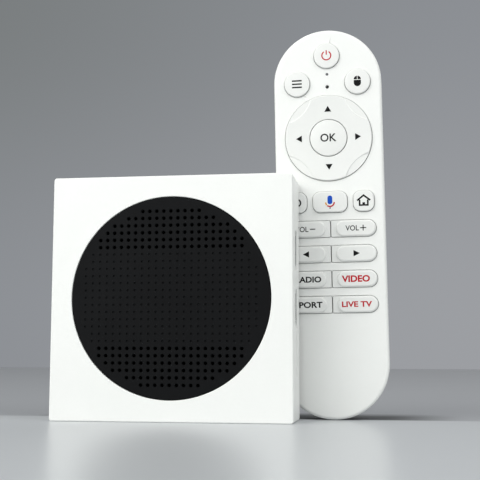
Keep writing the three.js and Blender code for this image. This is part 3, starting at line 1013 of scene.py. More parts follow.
@dataclass
class Player(SubAssembly):
    """The square box, from its case to its sockets."""

    side: float = 102.0
    half_depth: float = 12.5
    wall: float = 2.0
    front_wall: float = 2.2
    corner: float = 1.2
    edge: float = 0.6
    vent_radius: float = 42.15
    disc_radius: float = 41.9
    disc_near: float = -12.4
    disc_far: float = -10.7
    pitch: float = 3.0
    hole: float = 0.72
    hole_lip: float = 0.2
    dimple: float = 0.46
    dimple_depth: float = 0.4
    through_rows: tuple[int, ...] = (10, 10, 9, 8, 6, 4)
    first_through_row: int = 7
    cover_near: float = 10.9
    cover_side: float = 97.4
    screw_inset: float = 7.0
    foot_inset: float = 15.0
    lip: float = 0.25
    recess: float = 0.4
    jack_place: Place = (33.0, -0.55)
    display_place: Place = (15.0, 1.05)
    network_place: Place = (-7.0, -2.75)
    audio_place: Place = (-30.0, 0.45)
    data_depth: float = 1.0
    data_levels: Place = (71.2, 46.8)
    card_depth: float = 3.0
    card_level: float = 27.8
    window_place: Place = (28.0, -1.0)
    slot_count: int = 9
    slot_pitch: float = 5.5

    @property
    def middle_height(self) -> float:
        """The height of the middle of the box."""
        return self.side / 2

    def build(self) -> None:
        """Models every shown piece of the player, and dresses the ones inside."""
        self.housing()
        self.vent_disc()
        self.back_cover()
        self.fixings()
        self.edge_sockets()
        self.side_sockets()
        self.window()
        self.inside()

    def corners(self, inset: float) -> list[Place]:
        """The four places near the corners, in the order of the nodes.

        Args:
            inset: How far they lie from the edges.

        Returns:
            The x and z of each.
        """
        reach = self.side / 2 - inset
        top = self.side - inset
        return [(-reach, inset), (reach, inset), (reach, top), (-reach, top)]

    def housing(self) -> None:
        """The white case: four walls and a front with a round opening, and cut-outs for the sockets."""
        centre = (0.0, self.middle_height)
        case = Piece.slab("case", (self.side, self.side), -self.half_depth, self.half_depth, centre,
                          (self.corner, self.corner), 6)
        case.round_rim(-self.half_depth, self.edge, 6)
        room = self.side - 2 * self.wall
        case.carve(Piece.slab("room", (room, room), self.front_wall - self.half_depth, self.half_depth + 1,
                              centre, (0.6, 0.6), 3))
        opening = Piece.bar("opening", self.vent_radius + 0.3, -self.half_depth - 1, -self.half_depth,
                            centre, 160).sink(3.0, 0.3)
        case.carve(opening)
        right = self.side / 2
        cutouts = [
            self.round_cutout(4.3, (*self.jack_place, self.side)),
            self.cutout((16.2, 7.0), 1.0, Axis.UP, (*self.display_place, self.side)),
            self.cutout((16.8, 13.9), 0.6, Axis.UP, (*self.network_place, self.side)),
            self.round_cutout(3.3, (*self.audio_place, self.side)),
        ]
        for level in self.data_levels:
            cutouts.append(self.cutout((16.4, 6.8), 2.2, Axis.RIGHT, (right, self.data_depth, level)))
        cutouts += [
            self.cutout((19.4, 2.8), 1.2, Axis.RIGHT, (right, self.card_depth, self.card_level)),
            self.cutout((16.6, 5.6), 0.6, Axis.DOWN, (*self.window_place, 0)),
        ]
        case.carve(*cutouts)
        case.smooth()
        self.settle(case, "player", "white_case", "housing")

    def cutout(self, size: Place, corner: float, axis: Axis, where: Sequence[float]) -> Piece:
        """A cutter for one socket's mouth in the wall, with a softened lip.

        Args:
            size: The width and height of the mouth.
            corner: The radius of its corners.
            axis: The way it faces.
            where: Where its middle lies, on the outside of the wall.

        Returns:
            The cutter.
        """
        lip = self.lip
        grown = (size[0] + 2 * lip, size[1] + 2 * lip)
        cutter = Piece.slab("cutout", grown, -1, 0, radii=(corner + lip, corner + lip))
        return cutter.sink(3.0, lip).face(axis).shift(where)

    def round_cutout(self, radius: float, where: Sequence[float]) -> Piece:
        """A cutter for a round mouth in the upper wall, with a softened lip.

        Args:
            radius: The radius of the mouth.
            where: Where its middle lies, on the outside of the wall.

        Returns:
            The cutter.
        """
        cutter = Piece.bar("cutout", radius + self.lip, -1, 0, sides=48)
        return cutter.sink(3.0, self.lip).face(Axis.UP).shift(where)

    def cell(self, through: bool) -> Piece:
        """One square of the grille with its hole or its dimple, its front at y = 0.

        Args:
            through: Whether it is a hole.

        Returns:
            The square.
        """
        clear_selection()
        bpy.ops.mesh.primitive_grid_add(x_subdivisions=4, y_subdivisions=4, size=self.pitch,
                                        rotation=(math.pi / 2, 0, 0))
        cell = Piece("cell")
        rim = self.pitch / 2 - 1e-3
        with cell.vertices(lambda co: max(abs(co.x), abs(co.z)) < rim):
            bpy.ops.mesh.delete(type="VERT")
        thickness = self.disc_far - self.disc_near
        back = cell.copy("cell_back", (0, thickness, 0))
        radius = self.hole + self.hole_lip
        drops = ((radius - 0.06, 0.14), (self.hole, self.hole_lip))
        if not through:
            radius = self.dimple + 0.12
            drops = ((self.dimple, 0.12), (self.dimple - 0.1, self.dimple_depth))
        clear_selection()
        bpy.ops.mesh.primitive_circle_add(vertices=16, radius=radius, rotation=(math.pi / 2, 0, 0))
        ring = Piece("ring")
        with ring.vertices(lambda co: True):
            last = radius
            lowest = 0.0
            for size, drop in drops:
                bpy.ops.mesh.extrude_region_move(
                    TRANSFORM_OT_translate={"value": (0, drop - lowest, 0)})
                narrower = size / last
                bpy.ops.transform.resize(value=(narrower, 1, narrower), center_override=(0, 0, 0))
                last = size
                lowest = drop
            if through:
                bpy.ops.mesh.extrude_region_move(
                    TRANSFORM_OT_translate={"value": (0, thickness - lowest, 0)})
            else:
                bpy.ops.mesh.edge_face_add()
        cell.add(ring)
        with cell.open_edges(lambda a, b: max(a.y, b.y) < 1e-4):
            bpy.ops.mesh.bridge_edge_loops()
        cell.add(back)
        with cell.open_edges(lambda a, b: min(a.y, b.y) > thickness - 1e-3):
            if through:
                bpy.ops.mesh.bridge_edge_loops()
            else:
                bpy.ops.mesh.edge_face_add()
        return cell

    def vent_disc(self) -> None:
        """The round grille: open holes above and below, and rows of dimples across the middle."""
        first = self.first_through_row
        rows = [VentRow(first + index, reach) for index, reach in enumerate(self.through_rows)]
        plain = [VentRow(number, 12 if number < 5 else 11) for number in range(first)]
        strips = []
        for through, group in ((True, rows), (False, plain)):
            cell = self.cell(through)
            for row in group:
                for side in ((-1, 1) if row.number else (1,)):
                    level = self.middle_height + side * row.number * self.pitch
                    strip = cell.copy("strip", (-row.reach * self.pitch, self.disc_near, level))
                    strips.append(strip.repeat(2 * row.reach + 1, (self.pitch, 0, 0)))
            bpy.data.objects.remove(cell.obj)
        disc = strips[0].add(*strips[1:])
        disc.obj.name = "grille_disc"
        disc.weld(0.01)
        rim = [
            (self.disc_radius - 0.35, self.disc_near),
            (self.disc_radius - 0.12, self.disc_near + 0.08),
            (self.disc_radius, self.disc_near + 0.3),
            (self.disc_radius, self.disc_far),
        ]
        disc.add(Piece.turned("rim", rim, (0.0, self.middle_height), 160))
        for depth in (self.disc_near, self.disc_far):
            with disc.open_edges(lambda a, b: abs(a.y - depth) < 1e-3 and abs(b.y - depth) < 1e-3):
                bpy.ops.mesh.fill(use_beauty=True)
        disc.weld(1e-4)
        disc.smooth(50)
        self.settle(disc, "player", "dark_grille", "vent_disc")

    def back_cover(self) -> None:
        """The dark cover with its slots, and sunk seats for the screws and feet."""
        size = (self.cover_side, self.cover_side)
        centre = (0.0, self.middle_height)
        cover = Piece.slab("cover", size, self.cover_near, self.half_depth, centre, (0.8, 0.8), 4)
        cover.round_rim(self.half_depth, 0.25, 3)
        cutters = []
        for number in range(self.slot_count):
            slot = Piece.slab("slot", (40.4, 2.0), -1, 0, radii=(0.99, 0.99)).sink(3.0, 0.2, 2)
            level = self.middle_height + (number - self.slot_count // 2) * self.slot_pitch
            cutters.append(slot.face(Axis.BACK).shift((0, self.half_depth, level)))
        profile = [
            (0, -1), (2.9, -1), (2.9, 0), (2.7, 0.2), (2.7, 1.0), (1.4, 1.0), (1.4, 3.0), (0, 3.0)]
        for x, z in self.corners(self.screw_inset):
            seat = Piece.turned("seat", profile, sides=40).face(Axis.BACK)
            cutters.append(seat.shift((x, self.half_depth, z)))
        for x, z in self.corners(self.foot_inset):
            seat = Piece.bar("seat", 5.0, -1, 0, sides=56).sink(0.4, 0.2, 2).face(Axis.BACK)
            cutters.append(seat.shift((x, self.half_depth, z)))
        cover.carve(*cutters)
        cover.smooth()
        self.settle(cover, "player", "cover_plastic", "back_cover")

    def fixings(self) -> None:
        """Four cross-head screws and four rubber feet."""
        profile = [
            (0, 0.15), (1.9, 0.15), (2.25, 0.25), (2.4, 0.5), (2.4, 0.95), (1.1, 0.95), (1.1, 8.4),
            (0, 9.0),
        ]
        screw = Piece.turned("screw", profile, sides=40)
        arms = [Piece.slab("arm", size, -0.2, 0.75) for size in ((2.6, 0.6), (0.6, 2.6))]
        for arm in arms:
            screw.carve(arm)
        screw.smooth().face(Axis.BACK)
        foot_profile = [
            (0, 0.1), (3.3, 0.0), (4.1, 0.0), (4.4, 0.12), (4.5, 0.4), (4.5, 1.55), (0, 1.55)]
        foot = Piece.turned("foot", foot_profile, sides=56)
        foot.smooth().face(Axis.BACK)
        fixings = (
            (screw, self.screw_inset, "cover_screw", "steel", 0.0),
            (foot, self.foot_inset, "rubber_foot", "rubber_feet", 1.0),
        )
        for first, inset, node, slot, proud in fixings:
            for number, (x, z) in enumerate(self.corners(inset), 1):
                copy = first.copy(f"{node}_piece_{number}", (x, self.half_depth + proud, z))
                self.settle(copy, "player", slot, f"{node}_{number}")
            bpy.data.objects.remove(first.obj)

    def edge_sockets(self) -> None:
        """The four sockets along the upper edge, which face up."""
        face = self.side - self.recess
        barrel = [
            (3.0, 0.3), (3.3, 0), (4, 0), (4, 3), (3, 3), (3, 9), (2.9, 9), (2.9, 0.3), (3.0, 0.3)]
        jack = Piece.turned("power_jack_body", barrel, sides=48)
        jack.add(Piece.slab("block", (9, 9), 2.6, 13))
        tip = [(0, 1.0), (0.6, 1.1), (1.0, 1.6), (1.0, 9.5), (0, 9.5)]
        pin = Piece.turned("power_jack_pin", tip, sides=24)
        display = Piece.slab("display_shell", (15, 5.8), 0, 11, radii=(0.3, 0.3), steps=3)
        with display.edges(lambda a, b: abs(a.y - b.y) > 1 and a.z < -2.4):
            bpy.ops.mesh.bevel(offset=1.5, segments=1)
        display.hollow(0, 0.5, 8.5)
        tongue = Piece.slab("display_tongue", (11, 1.2), 1.2, 9, (0, -0.4), (0.2, 0.2), 2)
        display_contacts = Piece.slab("display_contacts", (0.3, 0.2), 1.5, 8, (-4.5, 0.25), (0.04, 0.04), 2)
        display_contacts.repeat(10, (1.0, 0, 0))
        network = Piece.slab("network_body", (16, 13.4), 0, 16, radii=(0.4, 0.4), steps=3)
        network.carve(Piece.slab("mouth", (11.8, 8.2), -1, 13))
        network.carve(Piece.slab("latch", (5.8, 2.2), -1, 12, (0, 5.0)))
        network_contacts = Piece.slab(
            "network_contacts", (0.45, 0.5), 1.2, 10, (-3.57, -3.7), (0.06, 0.06), 2)
        network_contacts.repeat(8, (1.02, 0, 0))
        collar = [(1.8, 0.25), (2.05, 0), (3, 0), (3, 2.4), (1.8, 2.4), (1.8, 0.25)]
        audio = Piece.turned("audio_body", collar, sides=40)
        audio.add(Piece.slab("block", (7, 7), 2.2, 12))
        band = [(1.8, 0.1), (1.95, -0.05), (2.4, -0.05), (2.5, 0.1), (1.8, 0.1)]
        audio_ring = Piece.turned("audio_ring", band, sides=40)
        rows = (
            (jack, self.jack_place, "socket_plastic", ("power_jack",)),
            (pin, self.jack_place, "contact_steel", ()),
            (display, self.display_place, "steel", ("hdmi_socket",)),
            (tongue, self.display_place, "socket_plastic", ()),
            (display_contacts, self.display_place, "gold", ()),
            (network, self.network_place, "socket_plastic", ("network_socket",)),
            (network_contacts, self.network_place, "gold", ()),
            (audio, self.audio_place, "socket_plastic", ("audio_jack",)),
            (audio_ring, self.audio_place, "steel", ()),
        )
        for piece, place, slot, nodes in rows:
            piece.face(Axis.UP).shift((*place, face)).smooth()
            self.settle(piece, "player", slot, *nodes)

    def side_sockets(self) -> None:
        """Two data sockets and a card slot on the right, which face +x."""
        face = self.side / 2 - self.recess
        shell = Piece.slab("data_shell", (13.2, 5.9), 0, 14, radii=(0.5, 0.5), steps=4)
        shell.hollow(0, 0.45, 11)
        tongue = Piece.slab("data_tongue", (11, 1.8), 0.9, 11.5, (0, -0.9), (0.2, 0.2), 2)
        contacts = Piece.slab("data_contacts", (1.0, 0.2), 1.2, 9, (-3.5, 0.05), (0.04, 0.04), 2)
        contacts.repeat(4, (2.33, 0, 0))
        for node, level in zip(("usb_socket_upper", "usb_socket_lower"), self.data_levels):
            parts = ((shell, "steel", (node,)), (tongue, "socket_plastic", ()), (contacts, "gold", ()))
            for part, slot, nodes in parts:
                copy = part.copy(f"{node}_{part.obj.name}")
                copy.face(Axis.RIGHT).shift((face, self.data_depth, level)).smooth()
                self.settle(copy, "player", slot, *nodes)
        for part in (shell, tongue, contacts):
            bpy.data.objects.remove(part.obj)
        card = Piece.slab("card_shell", (15, 1.9), 0, 14, radii=(0.3, 0.3), steps=3)
        card.carve(Piece.slab("mouth", (11.4, 0.9), -1, 12))
        card.face(Axis.RIGHT).shift((face, self.card_depth, self.card_level)).smooth()
        self.settle(card, "player", "steel", "card_socket")

    def window(self) -> None:
        """The smoked window of the infrared receiver in the lower wall."""
        window = Piece.slab("receiver_window", (16, 5), 0, 1.7, radii=(0.6, 0.6), steps=4)
        window.round_rim(0, 0.2, 3)
        window.face(Axis.DOWN).shift((*self.window_place, 0.2)).smooth()
        self.settle(window, "player", "smoked_lens", "infrared_window")

    def inside(self) -> None:
        """Dresses the pieces inside, which keep their shapes."""
        slots = {
            "main_board": "board", "processor": "chip", "thermal_pad": "silicone",
            "heat_sink": "aluminium", "memory_chip_1": "chip", "memory_chip_2": "chip",
            "storage_chip": "chip", "wireless_module": "steel", "antenna_left": "aluminium",
            "antenna_lower": "aluminium", "infrared_receiver": "chip", "status_light": "clear_lens",
        }
        self.dress_nodes(slots)


# ---------------------------------------------------------------- the remote
class KeyForm(Enum):
    """The outline of a key cap."""

    ROUND = "round"
    CUSHION = "cushion"
    LEFT_HALF = "left half of a pill"
    RIGHT_HALF = "right half of a pill"


@dataclass(frozen=True)
class Key:
    """One key of the remote: its node, outline, corner radius and the rise of its crown."""

    node: str
    form: KeyForm
    corner: float = 3.2
    crown: float = 0.12


@dataclass
class Remote(SubAssembly):
    """The remote control, from its shells to its printed marks."""

    width: float = 47.0
    length: float = 169.8
    depth: float = 18.0
    split: float = 6.8
    front_edge: float = 1.5
    back_edge: float = 5.0
    wall: float = 1.6
    side_wall: float = 1.8
    key_face: float = -1.15
    key_foot: float = 2.0
    clearance: float = 0.17
    lip: float = 0.22
    pad_height: float = 121.55
    pivot_depth: float = 1.8
    ring_radius: float = 18.85
    ring_inner: float = 8.25
    door_low: float = 14.0
    door_high: float = 67.0
    door_width: float = 30.0
    lamp_height: float = 149.9
    sound_height: float = 144.3
    emitter_depth: float = 9.6
    keys: tuple[Key, ...] = (
        Key("key_power", KeyForm.ROUND), Key("key_menu", KeyForm.ROUND),
        Key("key_pointer", KeyForm.ROUND),
        Key("key_ok", KeyForm.ROUND, crown=0.4), Key("key_back", KeyForm.CUSHION),
        Key("key_voice", KeyForm.CUSHION, 3.1), Key("key_home", KeyForm.CUSHION),
        Key("key_volume_down", KeyForm.LEFT_HALF), Key("key_volume_up", KeyForm.RIGHT_HALF),
        Key("key_previous", KeyForm.LEFT_HALF), Key("key_next", KeyForm.RIGHT_HALF),
        Key("key_app_1", KeyForm.LEFT_HALF), Key("key_app_2", KeyForm.RIGHT_HALF),
        Key("key_app_3", KeyForm.LEFT_HALF), Key("key_app_4", KeyForm.RIGHT_HALF),
    )

    def build(self) -> None:
        """Models every shown piece of the remote, and dresses the ones inside."""
        self.front_shell()
        self.back_shell()
        self.battery_door()
        self.direction_ring()
        for key in self.keys:
            self.key_cap(key)
        self.lamp_and_emitter()
        self.marks()
        self.dress_nodes({
            "key_pad": "silicone", "remote_board": "board", "battery_1": "battery_sleeve",
            "battery_2": "battery_sleeve", "battery_contact_lower": "contact_steel",
            "battery_contact_upper": "contact_steel", "direction_pivot": "silicone",
        })

    def outline(self, key: Key, grow: float, near: float, far: float) -> Piece:
        """A plate with a key's outline.

        Args:
            key: The key.
            grow: How far the outline stands outside the cap.
            near: The depth of its near face.
            far: The depth of its far face.

        Returns:
            The plate.
        """
        low, high = self.box(key.node)
        centre = ((low.x + high.x) / 2, (low.z + high.z) / 2)
        size = (high.x - low.x + 2 * grow, high.z - low.z + 2 * grow)
        if key.form is KeyForm.ROUND:
            return Piece.bar("cap_" + key.node, size[0] / 2, near, far, centre, 72)
        outer = size[1] / 2 - 0.02
        inner = 0.5 + grow
        radii = {
            KeyForm.CUSHION: (key.corner + grow, key.corner + grow),
            KeyForm.LEFT_HALF: (outer, inner),
            KeyForm.RIGHT_HALF: (inner, outer),
        }[key.form]
        return Piece.slab("cap_" + key.node, size, near, far, centre, radii, 10)

    def front_shell(self) -> None:
        """The front shell with a softened opening round every key."""
        shell = Piece.stadium("front_shell", self.width, 0, self.length, 0, self.split + 0.15, 160)
        shell.hollow(self.split + 0.15, self.side_wall, self.wall - self.split - 0.15)
        shell.round_rim(0, self.front_edge, 6)
        grow = self.clearance + self.lip
        ring = Piece.bar("opening", self.ring_radius + grow, -1, 0, (0, self.pad_height), 128)
        cutters = [ring.sink(4.0, self.lip)]
        for radius, height in ((0.62, self.lamp_height), (0.8, self.sound_height)):
            opening = Piece.bar("opening", radius + 0.1, -1, 0, (0, height), 32)
            cutters.append(opening.sink(4.0, 0.1, 2))
        shell.carve(*cutters)
        right_halves = [key for key in self.keys if key.form is KeyForm.RIGHT_HALF]
        others = [key for key in self.keys if key not in right_halves and key.node != "key_ok"]
        for keys in (others, right_halves):
            shell.carve(*[self.outline(key, grow, -1, 0).sink(4.0, self.lip) for key in keys])
        shell.smooth()
        self.settle(shell, "remote", "white_case", "remote_front_shell")

    def back_shell(self) -> None:
        """The deeper back shell with the battery bay and its ledge."""
        near = self.split + 0.25
        inner = self.depth - self.wall
        centre = (0.0, (self.door_low + self.door_high) / 2)
        wide = self.door_width
        tall = self.door_high - self.door_low
        shell = Piece.stadium("back_shell", self.width, 0, self.length, near, self.depth, 160)
        shell.hollow(near, self.side_wall, inner - near)
        shell.round_rim(inner, self.back_edge - self.wall, 6)
        shell.round_rim(self.depth, self.back_edge, 10)
        shell.fuse(Piece.slab("ledge", (wide + 5, tall + 5), inner - 1.4, inner + 0.4, centre, (4, 4), 5))
        pocket = Piece.slab("pocket", (wide + 1.0, tall + 1.0), -1, 0, radii=(3.5, 3.5)).sink(1.7, 0.2)
        shell.carve(pocket.face(Axis.BACK).shift((0, self.depth, centre[1])))
        shell.carve(Piece.slab("throat", (wide - 5.2, tall - 4), inner - 3, inner + 1, centre, (1, 1), 4))
        for height in (self.door_low - 0.4, self.door_high - 0.6):
            end_wall = Piece.slab("end_wall", (24, 1.2), self.split + 0.7, inner - 0.5, (0, height))
            shell.fuse(end_wall)
        hole = Piece.bar("hole", 1.9, -1, 6, sides=40).face(Axis.UP)
        shell.carve(hole.shift((0, self.emitter_depth, self.length)))
        shell.smooth()
        self.settle(shell, "remote", "white_case", "remote_back_shell")

    def battery_door(self) -> None:
        """The battery door with its finger notch and grip lines."""
        middle = (self.door_low + self.door_high) / 2
        size = (self.door_width, self.door_high - self.door_low)
        door = Piece.slab("door", size, self.depth - self.wall, self.depth, (0, middle), (3, 3), 8)
        door.round_rim(self.depth, 0.25, 3)
        notch = Piece.slab("notch", (12.4, 3.4), -1, 0, radii=(1.69, 1.69)).sink(0.5, 0.2, 3)
        cutters = [notch.face(Axis.BACK).shift((0, self.depth, self.door_high - 4))]
        for step in range(4):
            line = Piece.slab("line", (12.2, 0.7), -1, 0, radii=(0.34, 0.34)).sink(0.1, 0.15, 2)
            cutters.append(line.face(Axis.BACK).shift((0, self.depth, self.door_high - 8 - 1.6 * step)))
        door.carve(*cutters)
        door.smooth()
        self.settle(door, "battery_door", "white_case", "battery_door")

    def direction_ring(self) -> None:
        """The ring: a shallow dish with a scallop at each diagonal."""
        outer = self.ring_radius
        profile = [
            (self.ring_inner, 1.6), (self.ring_inner, -0.2), (self.ring_inner + 0.12, -0.42), (9.0, -0.5),
            (11.0, -0.53), (14.0, -0.63), (17.0, -0.8), (outer - 0.65, -0.9), (outer - 0.3, -0.84),
            (outer - 0.08, -0.62), (outer, -0.3), (outer, 1.6), (self.ring_inner, 1.6),
        ]
        ring = Piece.turned("ring", profile, (0, self.pad_height), 128)
        reach = 1.53 * outer / math.sqrt(2)
        radius = 0.71 * outer
        for across in (-1, 1):
            for up in (-1, 1):
                place = (across * reach, self.pad_height + up * reach)
                cutter = Piece.bar("scallop", radius + 0.55, -2, -1.0, place, 128)
                with cutter.faces(lambda centre, normal: normal.y > 0.99):
                    bpy.ops.mesh.inset(thickness=0.75, depth=0.5)
                ring.carve(cutter)
        ring.smooth(24)
        self.settle(ring, "direction_ring", "white_key", "direction_ring")

    def key_cap(self, key: Key) -> None:
        """One key cap, crowned or stepped, with soft edges.

        Args:
            key: The key.
        """
        low, high = self.box(key.node)
        if key.form is KeyForm.ROUND:
            radius = (high.x - low.x) / 2
            soft = 0.45
            shoulder = self.key_face + key.crown
            flat = radius - soft
            shares = [step / 6 for step in range(7)]
            crown = [(flat * share, self.key_face + key.crown * share ** 2) for share in shares]
            turn = [math.pi / 2 * step / 5 for step in range(1, 6)]
            edge = [(flat + soft * math.sin(a), shoulder + soft * (1 - math.cos(a))) for a in turn]
            profile = crown + edge + [(radius, self.key_foot), (0, self.key_foot)]
            centre = ((low.x + high.x) / 2, (low.z + high.z) / 2)
            cap = Piece.turned("cap_" + key.node, profile, centre, 72)
        elif key.form is KeyForm.CUSHION:
            cap = self.outline(key, 0, self.key_face, self.key_foot)
            cap.round_rim(self.key_face, 0.5, 5)
        else:
            cap = self.half_cap(key, low, high)
        cap.smooth()
        self.settle(cap, key.node, "white_key", key.node)

    def half_cap(self, key: Key, low: Vector, high: Vector) -> Piece:
        """Half of a pill: a low base with a raised pad away from the middle of the remote.

        Args:
            key: The key.
            low: The lowest corner of its node.
            high: The highest corner of its node.

        Returns:
            The cap.
        """
        base = self.key_face + 0.9
        cap = self.outline(key, 0, base, self.key_foot).round_rim(base, 0.2, 4)
        inset = 0.12
        side = 1 if key.form is KeyForm.RIGHT_HALF else -1
        inner = min(abs(low.x), abs(high.x)) + 2.0
        outer = max(abs(low.x), abs(high.x)) - inset
        height = high.z - low.z - 2 * inset
        centre = (side * (inner + outer) / 2, (low.z + high.z) / 2)
        rounds = (height / 2 - 0.02, height / 2 - 0.02)
        pad = Piece.slab("pad", (outer - inner, height), self.key_face, 0.5, centre, rounds, 12)
        pad.round_rim(self.key_face, 0.85, 6)
        return cap.fuse(pad)

    def lamp_and_emitter(self) -> None:
        """The small lamp in the front and the infrared emitter in the upper end."""
        dome = [(0, 0.0), (0.35, 0.03), (0.56, 0.12), (0.6, 0.3), (0.6, 2.5), (0, 2.5)]
        lens = Piece.turned("lamp_lens", dome, (0, self.lamp_height), 24)
        self.settle(lens.smooth(), "remote", "clear_lens", "indicator_lens")
        profile = [(0, 0.4), (0.6, 0.5), (1.1, 0.9), (1.4, 1.4), (1.5, 2.0), (1.5, 6.0), (0, 6.0)]
        emitter = Piece.turned("emitter_dome", profile, sides=32).face(Axis.UP)
        emitter.shift((0, self.emitter_depth, self.length)).smooth()
        self.settle(emitter, "remote", "smoked_lens", "infrared_emitter")

    # -- printed marks
    def mark(self, piece: Piece, body: str, ink: str) -> None:
        """Settles one printed mark on its key.

        Args:
            piece: The mark, in its place.
            body: The body that it is printed on.
            ink: The slot of its ink.
        """
        piece.obj.name = f"mark_{body}_{ink}"
        self.settle(piece, body, ink)

    def centre_of(self, node: str) -> Place:
        """The x and z of the middle of a key's node."""
        low, high = self.box(node)
        return (low.x + high.x) / 2, (low.z + high.z) / 2

    def stroke(self, size: Place, centre: Place = (0.0, 0.0), corner: float = 0.08,
               turn: float = 0.0) -> Piece:
        """A bar of ink about the origin, turned and then moved to its place.

        Args:
            size: Its width and height.
            centre: Where its middle goes.
            corner: The radius of its corners.
            turn: How far it is turned, in degrees, clockwise from the front.

        Returns:
            The bar.
        """
        bar = Piece.slab("stroke", size, self.ink_near, self.ink_far, radii=(corner, corner), steps=4)
        bar.obj.rotation_euler = (0, math.radians(turn), 0)
        bar.apply_place()
        return bar.shift((centre[0], 0, centre[1]))

    def bow(self, radius: float, width: float, start: float, sweep: float,
            centre: Place = (0.0, 0.0)) -> Piece:
        """A curved stroke of ink.

        Args:
            radius: The radius of its middle line.
            width: The width of the stroke.
            start: Where it starts, in degrees anticlockwise from the right.
            sweep: How far it goes, in degrees anticlockwise.
            centre: The centre of the curve.

        Returns:
            The stroke.
        """
        thick = self.ink_far - self.ink_near
        middle = (radius, (self.ink_near + self.ink_far) / 2, 0)
        clear_selection()
        bpy.ops.mesh.primitive_plane_add(size=1, location=middle)
        bow = Piece("bow")
        with bow.vertices(lambda co: True):
            bpy.ops.transform.resize(value=(width, thick, 1), center_override=middle)
            bpy.ops.mesh.spin(steps=max(8, int(sweep / 8)), angle=math.radians(sweep),
                              center=(0, 0, 0), axis=(0, 1, 0))
        bow.weld(1e-4)
        bow.obj.rotation_euler = (0, -math.radians(start), 0)
        bow.apply_place()
        return bow.shift((centre[0], 0, centre[1]))

    def arrowhead(self, width: float, height: float, turn: float, centre: Place = (0.0, 0.0)) -> Piece:
        """A filled triangle that points up and is then turned clockwise.

        Args:
            width: The length of its base.
            height: Its height.
            turn: How far it is turned, in degrees.
            centre: Where its middle goes.

        Returns:
            The triangle.
        """
        head = Piece.slab("head", (width, height), self.ink_near, self.ink_far)
        with head.vertices(lambda co: co.z > 0):
            bpy.ops.transform.resize(value=(0.04, 1, 1), center_override=(0, 0, 0))
        head.obj.rotation_euler = (0, math.radians(turn), 0)
        head.apply_place()
        return head.shift((centre[0], 0, centre[1]))

    @property
    def ink_near(self) -> float:
        """The depth of the near face of the ink on a key's face."""
        return self.key_face - 0.025

    @property
    def ink_far(self) -> float:
        """How deep the ink reaches into a key."""
        return self.key_face + 0.3

    def at(self, node: str, piece: Piece) -> Piece:
        """Moves a mark from the origin to the middle of its key."""
        x, z = self.centre_of(node)
        return piece.shift((x, 0, z))

    def words(self, node: str, words: str, height: float, width: float, ink: str,
              offset: float = 0.0, weight: float = 0.012) -> None:
        """Prints plain words on a key.

        Args:
            node: The key.
            words: What it says.
            height: The height of the letters.
            width: The width of the whole.
            ink: The slot of the ink.
            offset: How far the words stand to the right of the key's middle.
            weight: How much bolder than normal the letters are.
        """
        x, z = self.centre_of(node)
        size = (width, height)
        text = Piece.lettering("words", words, size, self.ink_near, self.ink_far, (x + offset, z), weight)
        self.mark(text, node, ink)

    def volume_mark(self, node: str, offset: float, sign: Piece) -> None:
        """Prints the letters of a volume key with its sign behind them.

        Args:
            node: The key.
            offset: How far the mark stands to the right of the key's middle.
            sign: The sign, about the origin.
        """
        size = (5.7, 2.3)
        text = Piece.lettering("words", "VOL", size, self.ink_near, self.ink_far, (offset - 1.6, 0))
        text.add(sign.shift((offset + 3.1, 0, 0)))
        self.mark(self.at(node, text), node, "black_ink")

    def marks(self) -> None:
        """Prints the marks of all keys."""
        power = self.bow(1.95, 0.5, -238, 296).add(self.stroke((0.5, 2.0), (0, 1.35), 0.12))
        self.mark(self.at("key_power", power), "key_power", "red_ink")
        bars = [self.stroke((4.3, 0.62), (0, height)) for height in (1.45, 0, -1.45)]
        self.mark(self.at("key_menu", bars[0].add(*bars[1:])), "key_menu", "black_ink")
        pointer = Piece.stadium("pointer", 3.1, -2.3, 2.3, self.ink_near, self.ink_far, 48)
        pointer.carve(Piece.slab("gap", (4.0, 0.28), -2, 1, (0, 0.62)))
        pointer.carve(Piece.slab("gap", (0.28, 2.2), -2, 1, (0, 1.6)))
        self.mark(self.at("key_pointer", pointer), "key_pointer", "black_ink")
        self.words("key_ok", "OK", 3.5, 6.9, "black_ink")
        self.direction_marks()
        back = self.bow(1.5, 0.6, -100, 200, (0.3, -0.1)).add(
            self.stroke((2.0, 0.6), (-0.7, 1.4)), self.stroke((2.6, 0.6), (-0.7, -1.6)),
            self.arrowhead(2.4, 1.6, -90, (-2.0, 1.4)))
        self.mark(self.at("key_back", back), "key_back", "black_ink")
        voice = Piece.stadium("voice", 2.1, -1.1, 2.7, self.ink_near, self.ink_far, 40)
        self.mark(self.at("key_voice", voice), "key_voice", "blue_ink")
        for start, sweep, ink in ((-130, 130, "red_ink"), (-178, 40, "amber_ink")):
            cradle = self.bow(1.85, 0.6, start, sweep, (0, -0.2))
            self.mark(self.at("key_voice", cradle), "key_voice", ink)
        stem = self.stroke((0.5, 0.5), (0, -2.75))
        self.mark(self.at("key_voice", stem), "key_voice", "black_ink")
        self.mark(self.at("key_home", self.house()), "key_home", "black_ink")
        self.volume_mark("key_volume_down", -1.0, self.stroke((2.3, 0.4)))
        self.volume_mark("key_volume_up", 1.0, self.stroke((2.6, 0.4)).fuse(self.stroke((0.4, 2.5))))
        for node, turn, offset in (("key_previous", -90, -1.0), ("key_next", 90, 1.0)):
            head = self.arrowhead(2.7, 2.6, turn, (offset, 0))
            self.mark(self.at(node, head), node, "black_ink")
        self.words("key_app_1", "RADIO", 2.6, 11.4, "black_ink", -0.4, 0.03)
        self.words("key_app_2", "VIDEO", 2.9, 12.0, "red_ink", 0.4, 0.035)
        self.words("key_app_3", "SPORT", 2.6, 12.0, "black_ink", -0.4, 0.03)
        self.words("key_app_4", "LIVE TV", 2.4, 12.8, "red_ink", 0.6, 0.03)

